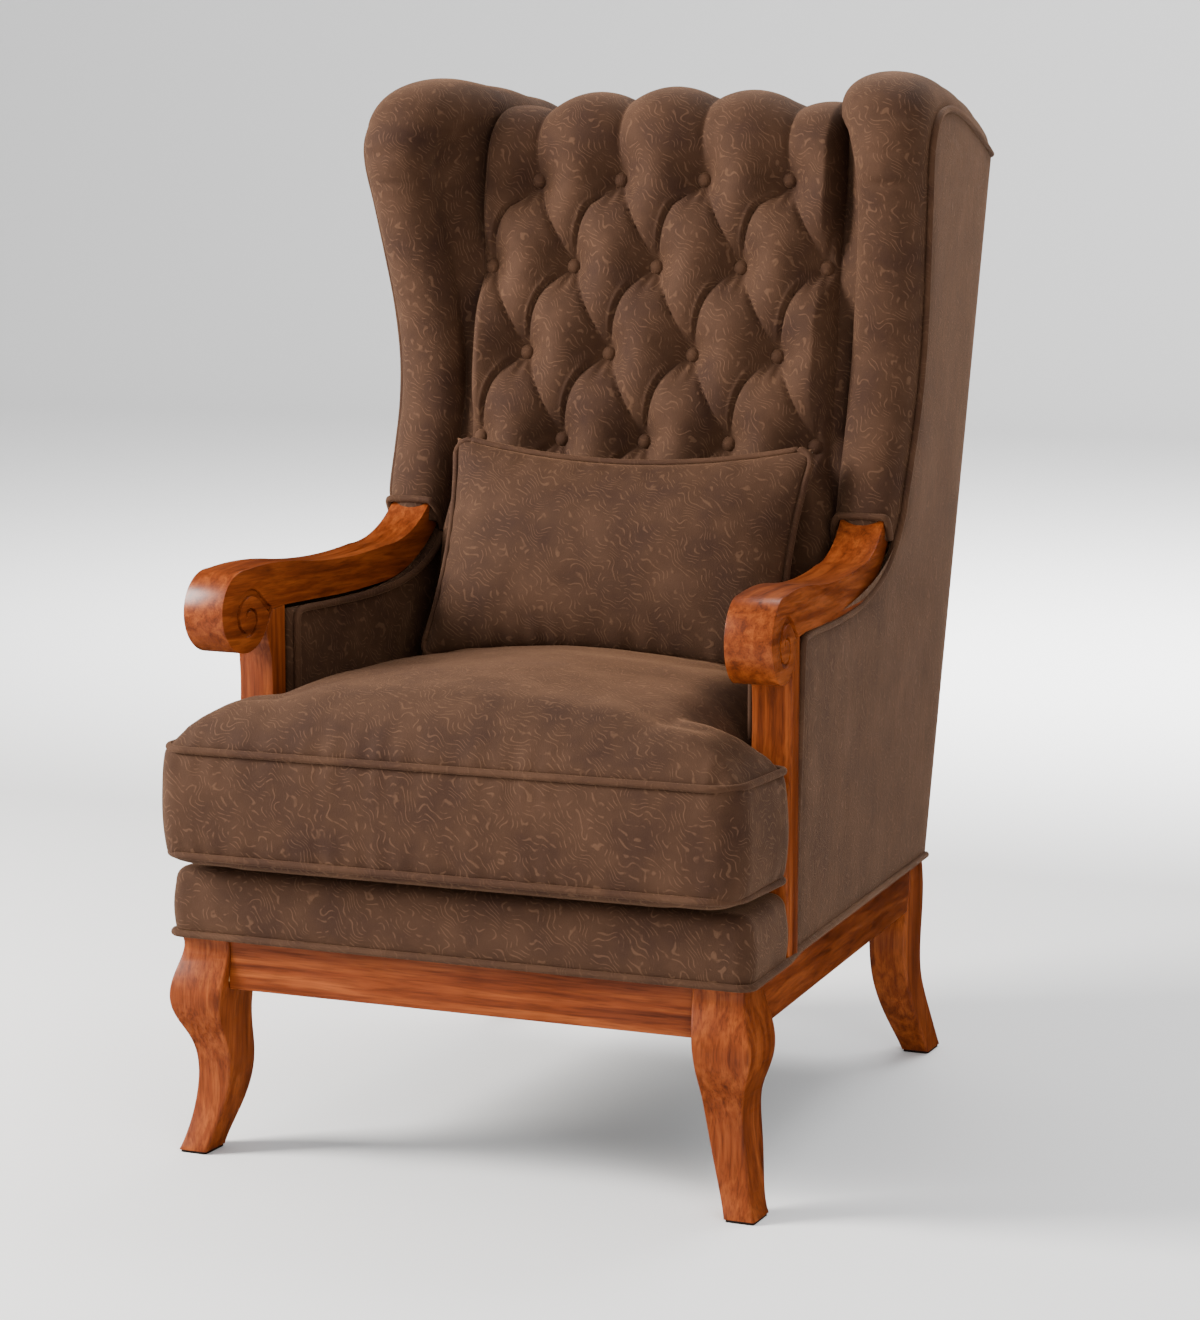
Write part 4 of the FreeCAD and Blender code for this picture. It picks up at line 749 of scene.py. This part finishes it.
def layWing(mirror):
    outward = squareTo(wingTable[:, :2])
    share, showing, creaseX = wing["rollShare"], wing["showing"], wing["creaseX"]

    def place(u, v):
        py, pz, cy, cz, wide, stand = readAt(wingTable, v)
        oy, oz = readAt(outward, v)
        outerX = np.array([sideFace(y, z) for y, z in zip(py, pz)]) - wing["inset"]
        s = np.clip(u / showing, 0, 1)
        phi = np.pi * np.clip(s / share, 0, 1)
        slide = np.clip((s - share) / (1 - share), 0, 1)
        x = outerX - wide * (1 - np.cos(phi)) / 2
        x = x + (creaseX - x) * slide ** 1.6
        lift = stand * np.sin(phi) ** 0.78 - wing["sunk"]
        pleat = sum(np.exp(-((v - at) / wing["pleatWide"]) ** 2) for at in wing["pleats"])
        lift -= wing["pleatDeep"] * pleat * np.exp(-((phi - 1.25) / 0.75) ** 2)
        lift += wing["ripple"] * np.sin(v * 60 + 3 * s) * np.sin(phi)
        back = slide ** 0.9
        y = py + (cy - py) * back + oy * lift
        z = pz + (cz - pz) * back + oz * lift
        tail = np.clip((u - showing) / (1 - showing), 0, 1)     # the hidden way to the start
        depth = wing["hiddenDeep"] * np.sin(np.pi * tail) ** 0.5
        homeX = creaseX + (outerX - creaseX) * tail
        homeY = cy + (py - wing["sunk"] * oy - cy) * tail - oy * depth
        homeZ = cz + (pz - wing["sunk"] * oz - cz) * tail - oz * depth
        hid = u > showing
        x, y, z = np.where(hid, homeX, x), np.where(hid, homeY, y), np.where(hid, homeZ, z)
        return np.stack([mirror * x, y, z], axis=1)

    return place


for side, mirror in sides:
    paddedPiece("wing_" + side + "_pad", wing["grid"], layWing(mirror), figuredVelvet,
                ["wing_" + side])
print("wings laid")

# Outside panels: a grid stretched between the front line, the top line, the back and the foot.
panel = {"low": 243.5, "front": -260.7, "wingTop": (71, 1075), "rearHigh": 1076.6, "inset": 0.6,
         "crown": 3.2, "edgeRun": 15.0, "sway": 0.9, "swaySize": 90, "grid": (96, 170)}
fullLine = smoothLine(sideLine, 900)
edgeLine = evenLine(fullLine, 160)


def layPanel(mirror):
    front, low = panel["front"], panel["low"]
    topStart = int(np.argmin(np.linalg.norm(fullLine - panel["wingTop"], axis=1)))
    frontLine = evenLine([(front, low)] + list(fullLine[:topStart]), panel["grid"][1] * 4)
    rearTop = (backPlane(panel["rearHigh"]) - panel["inset"], panel["rearHigh"])
    topLine = evenLine(list(fullLine[topStart:]) + [rearTop], 400)
    rearLow = (backPlane(low) - panel["inset"], low)
    corners = ((front, low), rearLow, tuple(frontLine[-1]), rearTop)

    def place(u, v):
        shares = ((1 - u) * (1 - v), u * (1 - v), (1 - u) * v, u * v)
        footLine = (front + u * (rearLow[0] - front), np.full(u.shape, low))
        frontAt, topAt = readAt(frontLine, v), readAt(topLine, u)
        spot = []
        for i in (0, 1):
            rearAt = rearLow[i] + v * (rearTop[i] - rearLow[i])
            both = (1 - u) * frontAt[i] + u * rearAt + (1 - v) * footLine[i] + v * topAt[i]
            spot.append(both - sum(corner[i] * share for corner, share in zip(corners, shares)))
        y, z = spot
        far = np.minimum.reduce([nearLine(edgeLine, y, z)[0], z - low, backPlane(z) - y])
        rise = crowned(far, panel["crown"], panel["edgeRun"])
        sway = np.array([waved(0, a, b, panel["swaySize"], 7.0 * mirror) for a, b in zip(y, z)])
        x = sideFace(y, z) + rise + panel["sway"] * sway * np.clip(rise / 3, 0, 1)
        return np.stack([mirror * x, y, z], axis=1)

    return place


for side, mirror in sides:
    paddedPiece("outsidePanel_" + side, panel["grid"], layPanel(mirror), plainVelvet,
                ["outside_side_" + side], shift=(-6 * mirror, 0, 0), merge=0.00001)
print("outside panels laid")

# Outside back: tacked flat, with a slight belly.
rear = {"low": 243.5, "high": 1076.0, "inset": 0.3, "sunk": 2.2, "arch": 15.0, "crown": 3.0,
        "edgeRun": 18.0, "grid": (84, 120)}


def layRear(u, v):
    z = rear["low"] + v * (rear["high"] - rear["low"])
    half = backHalf(z) - rear["inset"]
    x = (2 * u - 1) * half
    edge = np.minimum.reduce([(half - np.abs(x)), z - rear["low"], rear["high"] - z + 3])
    z = z + v ** 8 * rear["arch"] * (1 - (2 * u - 1) ** 2)
    y = backPlane(z) - rear["sunk"] + crowned(edge, rear["crown"], rear["edgeRun"])
    return np.stack([x, y, z], axis=1)


paddedPiece("outsideBack", rear["grid"], layRear, plainVelvet, ["outside_back"],
            shift=(0, -6, 0))

# Inside arms: a padded panel between the post, the arm and the tufts, with piping round it.
# Lines are (s, z), or (inset, s, z), where s runs back along the side from the chair's front.
armPad = {
    "front": 164.5, "rear": 535.0, "low": 320.0, "crown": 5.0, "inset": 45.0, "sunk": 4.0,
    "edgeRun": 15.0, "underArm": 5.0, "grid": (70, 60), "pipeInset": 46.2, "pipeUnder": 5.4,
    "armUnder": [(160, 584), (230, 583.5), (300, 584.4), (356, 588), (400, 595), (437, 607),
                 (468, 624), (487, 645)],
    "postPipe": [(167.5, 468), (167.5, 520), (167.5, 558), (169, 571), (179, 577.5)],
    "collar": [(45.8, 484, 641), (45, 475, 660), (41, 468, 671.5), (33, 466, 674.9),
               (0, 466, 674.8), (-13, 466, 674.6), (-17.6, 467.6, 671.5), (-18.4, 474, 660),
               (-18.3, 480, 650)],
}


def alongSide(mirror, inset, s, z):
    angle = math.atan(taper)
    x = chair["frontHalf"] - inset * math.cos(angle) - s * math.sin(angle)
    y = chair["front"] - inset * math.sin(angle) + s * math.cos(angle)
    return mirror * x, y, z


def layArmPad(mirror):
    underS, underZ = smoothLine(armPad["armUnder"], 120).T

    def place(u, v):
        s = armPad["front"] + u * (armPad["rear"] - armPad["front"])
        top = np.interp(s, underS, underZ) - armPad["underArm"] + np.clip(s - 487, 0, 60) * 0.5
        z = armPad["low"] + v * (top - armPad["low"])
        edge = np.minimum.reduce([s - armPad["front"], top - z, armPad["rear"] - s + 20])
        rise = crowned(edge, armPad["crown"], armPad["edgeRun"])
        x, y, z = alongSide(mirror, armPad["inset"] - armPad["sunk"] + rise, s, z)
        return np.stack([x, y, z], axis=1)

    return place


for side, mirror in sides:
    paddedPiece("insideArm_" + side + "_pad", armPad["grid"], layArmPad(mirror), figuredVelvet,
                ["inside_arm_" + side], shift=(14 * mirror, 0, 0))
    line = list(armPad["postPipe"])
    line += [(s, z - armPad["pipeUnder"]) for s, z in armPad["armUnder"][1:-1]] + [(482, 636)]
    run = [alongSide(mirror, armPad["pipeInset"], s, z) for s, z in smoothLine(line, 160)]
    piping("insideArmPiping_" + side, run, False, ["inside_arm_piping_" + side])
    run = [alongSide(mirror, i, s, z) for i, s, z in smoothLine(armPad["collar"], 110)]
    piping("armCollar_" + side, run, False, ["arm_collar_" + side])
print("inside arms laid")

# Deck: the sprung front band under the seat cushion, rounded over its top edge, whose flat top
# runs in towards a square corner at each side.
deck = {"proud": 7.0, "side": 6.3, "rearY": -306.0, "corner": 16.0, "low": 246.5, "high": 318.0,
        "round": 16.0, "bulge": 3.0, "inward": 90.0, "slope": 0.004, "innerX": 235.0,
        "innerY": -330.0, "grid": (240, 44)}
deckFront = chair["front"] - deck["proud"]
deckCorners = mirrored([(sideX(deck["rearY"], -deck["side"]), deck["rearY"], 0),
                        (sideX(deckFront, -deck["side"]), deckFront, 0)])
deckRun = roundedCorners(deckCorners, (0, deck["corner"], deck["corner"], 0), False)
deckPlan = evenLine([p[:2] for p in deckRun], 260)


def layDeck(u, v):
    x, y = readAt(deckPlan, u)
    nx, ny = readAt(squareTo(deckPlan), u)
    long = np.hypot(nx, ny)
    wall, arc = deck["high"] - deck["low"] - deck["round"], math.pi / 2 * deck["round"]
    run = v * (wall + arc + deck["inward"])
    inWall, turn = np.clip(run, 0, wall), np.clip(run - wall, 0, arc) / deck["round"]
    flat = np.clip(run - wall - arc, 0, None)
    z = deck["low"] + inWall + deck["round"] * np.sin(turn) + flat * deck["slope"]
    bulge = deck["bulge"] * np.sin(np.pi * np.clip(inWall / wall, 0, 1)) * (run < wall)
    inward = deck["round"] * (1 - np.cos(turn)) - bulge
    x, y = x - nx / long * inward, y - ny / long * inward
    share = flat / deck["inward"]
    endX, endY = np.clip(x, -deck["innerX"], deck["innerX"]), np.maximum(y, deck["innerY"])
    return np.stack([x + (endX - x) * share, y + (endY - y) * share, z], axis=1)


paddedPiece("deckBand", deck["grid"], layDeck, figuredVelvet, ["deck"])

# The plain cloth over the springs, sewn to the band and hidden by the cushion.
platform = {"front": -345.0, "rear": 56.0, "inset": 47.0, "top": 317.0, "hem": 3.0, "sag": 1.6,
            "sagWide": 12.5, "grid": (110, 70)}


def layPlatform(u, v):
    y = platform["front"] + v * (platform["rear"] - platform["front"])
    x = (2 * u - 1) * sideX(y, platform["inset"])
    edge = np.minimum.reduce([u, 1 - u, v, 1 - v]) * 400
    z = platform["top"] - platform["hem"] * np.exp(-(edge / 7) ** 1.5)
    wave = 0.5 + 0.5 * np.cos(x / platform["sagWide"])
    z = z - platform["sag"] * wave * np.clip(edge / 60, 0, 1)
    return np.stack([x, y, z], axis=1)


paddedPiece("deckPlatform", platform["grid"], layPlatform, plainVelvet, [],
            shift=(0, 0, -12))

# Deck piping: along the foot of the side panels, then a step out round the deck's front.
lowPipe = {"z": 246.0, "sideOut": 2.1, "deckOut": 8.0, "ahead": 1.8, "rearY": 304.0,
           "stepY": (-240, -300), "radii": (0, 10, 10, 16)}
pipeRun = [(lowPipe["rearY"], lowPipe["sideOut"]), (lowPipe["stepY"][0], lowPipe["sideOut"]),
           (lowPipe["stepY"][1], lowPipe["deckOut"]),
           (deckFront - lowPipe["ahead"], lowPipe["deckOut"])]
corners = mirrored([(sideX(y, -out), y, lowPipe["z"]) for y, out in pipeRun])
piping("deckPiping", roundedCorners(corners, lowPipe["radii"] + lowPipe["radii"][::-1], False),
       False, ["deck_piping"])
print("deck laid")

# Seat cushion: a T-shaped box cushion, its top crowned, with piping on both seams. It starts as
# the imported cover's outer skin on an even grid of cloth, which is then filled out, gathered at its
# seams and creased.
cushion = {
    "low": 337.0, "high": 450.0, "earFront": (326, -461), "earBack": 330, "neckY": -322.0,
    "neckInset": 49.6, "rearY": -17.4, "radii": (34, 14, 4, 22),
    "voxel": 5.0, "swell": 3.0, "borderSwell": 1.5, "hiddenShare": 0.12,
    "dents": 2.2, "pucker": 1.5, "puckerReach": 24,
    "shoulder": 7.0, "earShoulder": 9.0, "shoulderAt": 52, "shoulderWide": 40,
}
neckX, rearX = (sideX(cushion[end], cushion["neckInset"]) for end in ("neckY", "rearY"))
corners = mirrored([(*cushion["earFront"], 0), (cushion["earBack"], cushion["neckY"], 0),
                    (neckX, cushion["neckY"], 0), (rearX, cushion["rearY"], 0)])
cushionPlan = roundedCorners(corners, cushion["radii"] + cushion["radii"][::-1], True)
cushionLine = evenLine([p[:2] for p in cushionPlan], 560, True)
for name, z, nodes in (("cushionPipingHigh", cushion["high"], ["seat_cushion_piping"]),
                       ("cushionPipingLow", cushion["low"], [])):
    piping(name, [(x, y, z) for x, y in cushionLine], True, nodes, body="seat_cushion")


def outerSkin(node, name, voxel):
    piece = nodeCopy(node, name)
    openMesh(piece)
    bpy.ops.mesh.remove_doubles(threshold=0.00002)
    bpy.ops.mesh.separate(type="LOOSE")
    bpy.ops.object.mode_set(mode="OBJECT")
    shells = list(bpy.context.selected_objects)
    outer = max(shells, key=lambda shell: math.prod(shell.dimensions))
    for shell in shells:
        if shell is not outer:
            bpy.data.objects.remove(shell)
    outer.name = name
    openMesh(outer)
    bpy.ops.mesh.normals_make_consistent(inside=False)
    bpy.ops.object.mode_set(mode="OBJECT")
    grid = outer.modifiers.new("grid", "REMESH")
    grid.mode, grid.voxel_size = "VOXEL", voxel * 0.001
    even = outer.modifiers.new("even", "SMOOTH")
    even.factor, even.iterations = 0.5, 4
    applyAll(outer)
    return outer


def skinPoints(piece):
    count = len(piece.data.vertices)
    spots, faces = np.empty(count * 3), np.empty(count * 3)
    piece.data.vertices.foreach_get("co", spots)
    piece.data.vertices.foreach_get("normal", faces)
    spots = spots.reshape(-1, 3) * 1000
    spots[:, 1] -= chair["middleY"]
    return spots, faces.reshape(-1, 3)


# Small gathers along a seam: uneven waves that die away into the cloth.
def gathers(along, far, reach, seed):
    wave = np.sin(along / 5.1 + 1.7 * np.sin(along / 31.0 + seed))
    wave = wave + 0.6 * np.sin(along / 8.7 + seed * 2)
    strong = np.array([0.5 + 1.1 * noise.noise(Vector((a / 60, seed, 0))) for a in along])
    fading = np.exp(-(far / reach) ** 1.3) * np.clip(far / 4, 0, 1)
    return wave * np.clip(strong, 0, 1) * fading


seat = outerSkin("seat_cushion_cover", "seatCushion", cushion["voxel"])
spots, faces = skinPoints(seat)
across, deepIn, up = spots.T
seamLine = evenLine(cushionLine, 280, True)
plan, along = nearLine(np.vstack([seamLine, seamLine[:1]]), across, deepIn)
far = np.minimum(np.hypot(plan, up - cushion["high"]), np.hypot(plan, up - cushion["low"]))
topSide = up > cushion["high"] + 2
border = (up > cushion["low"] + 4) & (up < cushion["high"] - 4)
ahead = np.clip((-318 - deepIn) / 16, 0, 1)          # only the border's front is free to swell
free = np.where(border, ahead, np.where(topSide, 1.0, 0.0))
free = np.where(free > 0, free, cushion["hiddenShare"])
swell = cushion["swell"] * (1 - np.exp(-(far / 22) ** 1.4))
swell = swell * np.where(border, cushion["borderSwell"], 1.0)
dents = np.array([waved(*spot, 130, 3.3) + 0.35 * waved(*spot, 48, 9.1) for spot in spots])
gathered = gathers(along, far, cushion["puckerReach"], 1.3)
ears = np.clip((-300 - deepIn) / 60, 0, 1) * np.clip((np.abs(across) - 190) / 70, 0, 1)
shoulder = np.exp(-((plan - cushion["shoulderAt"]) / cushion["shoulderWide"]) ** 2)
raised = (cushion["shoulder"] + cushion["earShoulder"] * ears) * np.clip(plan / 18, 0, 1)
moved = swell + cushion["dents"] * dents * np.clip(far / 40, 0, 1) + cushion["pucker"] * gathered
spots[:, 2] += np.where(topSide, shoulder, 0.0) * raised
spots += faces * (free * moved)[:, None]
setPoints(seat, spots)
finishPiece(seat, figuredVelvet, "seat_cushion", ["seat_cushion_cover", "seat_cushion_core"])
print("seat cushion filled")

# Lumbar pillow: knife-edged, drawn in between its four corners.
pillow = {
    "halfWide": 222.5, "halfTall": 134.5, "deep": 48.5, "lean": 22.0,
    "middle": (8.0, -20.0, 627.25), "corner": 16, "clear": 17,
    "draw": 26.0, "lowDraw": 20.0, "sideDraw": 14.3,    # how far each edge is drawn in
    "seam": 2.5, "dents": 2.6, "pucker": 1.5, "puckerReach": 22, "grid": (120, 150),
}


def pillowSpot(x, deep, up):
    turn = math.radians(pillow["lean"])
    px, py, pz = pillow["middle"]
    y = py + deep * math.cos(turn) + up * math.sin(turn)
    return px + x, y, pz - deep * math.sin(turn) + up * math.cos(turn)


# The edge runs round through its corners; the places just beside a corner make way for its bend.
def pillowEdge():
    wide, tall = pillow["halfWide"], pillow["halfTall"]
    flat, upright = np.linspace(-1, 1, 22)[:-1], np.linspace(-1, 1, 16)[:-1]
    run = [(u * wide, tall - pillow["draw"] * (1 - u * u)) for u in flat]
    run += [(wide - pillow["sideDraw"] * (1 - v * v), -v * tall) for v in upright]
    run += [(-u * wide, -tall + pillow["lowDraw"] * (1 - u * u)) for u in flat]
    run += [(-wide + pillow["sideDraw"] * (1 - v * v), v * tall) for v in upright]
    bends = [spot for spot in run
             if abs(abs(spot[0]) - wide) < 0.1 and abs(abs(spot[1]) - tall) < 0.1]
    kept = [spot for spot in run
            if not any(0 < math.dist(spot, bend) < pillow["clear"] for bend in bends)]
    radii = [pillow["corner"] if spot in bends else 0 for spot in kept]
    return roundedCorners([(a, b, 0) for a, b in kept], radii, True)


pillowLine = smoothLine([p[:2] for p in pillowEdge()], 420, True)
piping("pillowPiping", [pillowSpot(a, 0, b) for a, b in pillowLine], True, ["pillow_piping"],
       body="pillow")


# The case is one grid that runs up the front and down the back.
def layPillow(u, v):
    a, b = 2 * u - 1, np.where(v < 0.5, 4 * v - 1, 3 - 4 * v)
    rise, fall = pillow["halfTall"] - pillow["seam"], pillow["halfWide"] - pillow["seam"]
    tall = rise - np.where(b > 0, pillow["draw"], pillow["lowDraw"]) * (1 - a * a)
    x, up = a * (fall - pillow["sideDraw"] * (1 - b * b)), b * tall
    full = np.clip(1 - np.abs(a) ** 3.6, 0, 1) ** 0.55 * np.clip(1 - b * b, 0, 1) ** 0.62
    side = np.where(v < 0.5, -1.0, 1.0)
    fromSide, fromEnd = (1 - np.abs(a)) * fall, (1 - np.abs(b)) * tall
    edge = np.minimum(fromSide, fromEnd)
    along = np.where(fromSide < fromEnd, up + 900 * np.sign(a), x + 2000 * np.sign(b))
    dents = np.array([waved(p, q, 40 * r, 85, 5.7) + 0.4 * waved(p, q, 40 * r, 32, 2.1)
                      for p, q, r in zip(x, up, side)])
    swell = pillow["deep"] * full + pillow["dents"] * dents * np.clip(edge / 30, 0, 1)
    swell += pillow["pucker"] * gathers(along, edge, pillow["puckerReach"], 4.2)
    deep = side * np.where(full > 0, np.maximum(swell, 0.4), 0.0)
    return np.array([pillowSpot(*spot) for spot in zip(x, deep, up)])


paddedPiece("lumbarPillow", pillow["grid"], layPillow, figuredVelvet,
            ["pillow_cover", "pillow_filling"], merge=0.0006, body="pillow")
print("pillow filled")
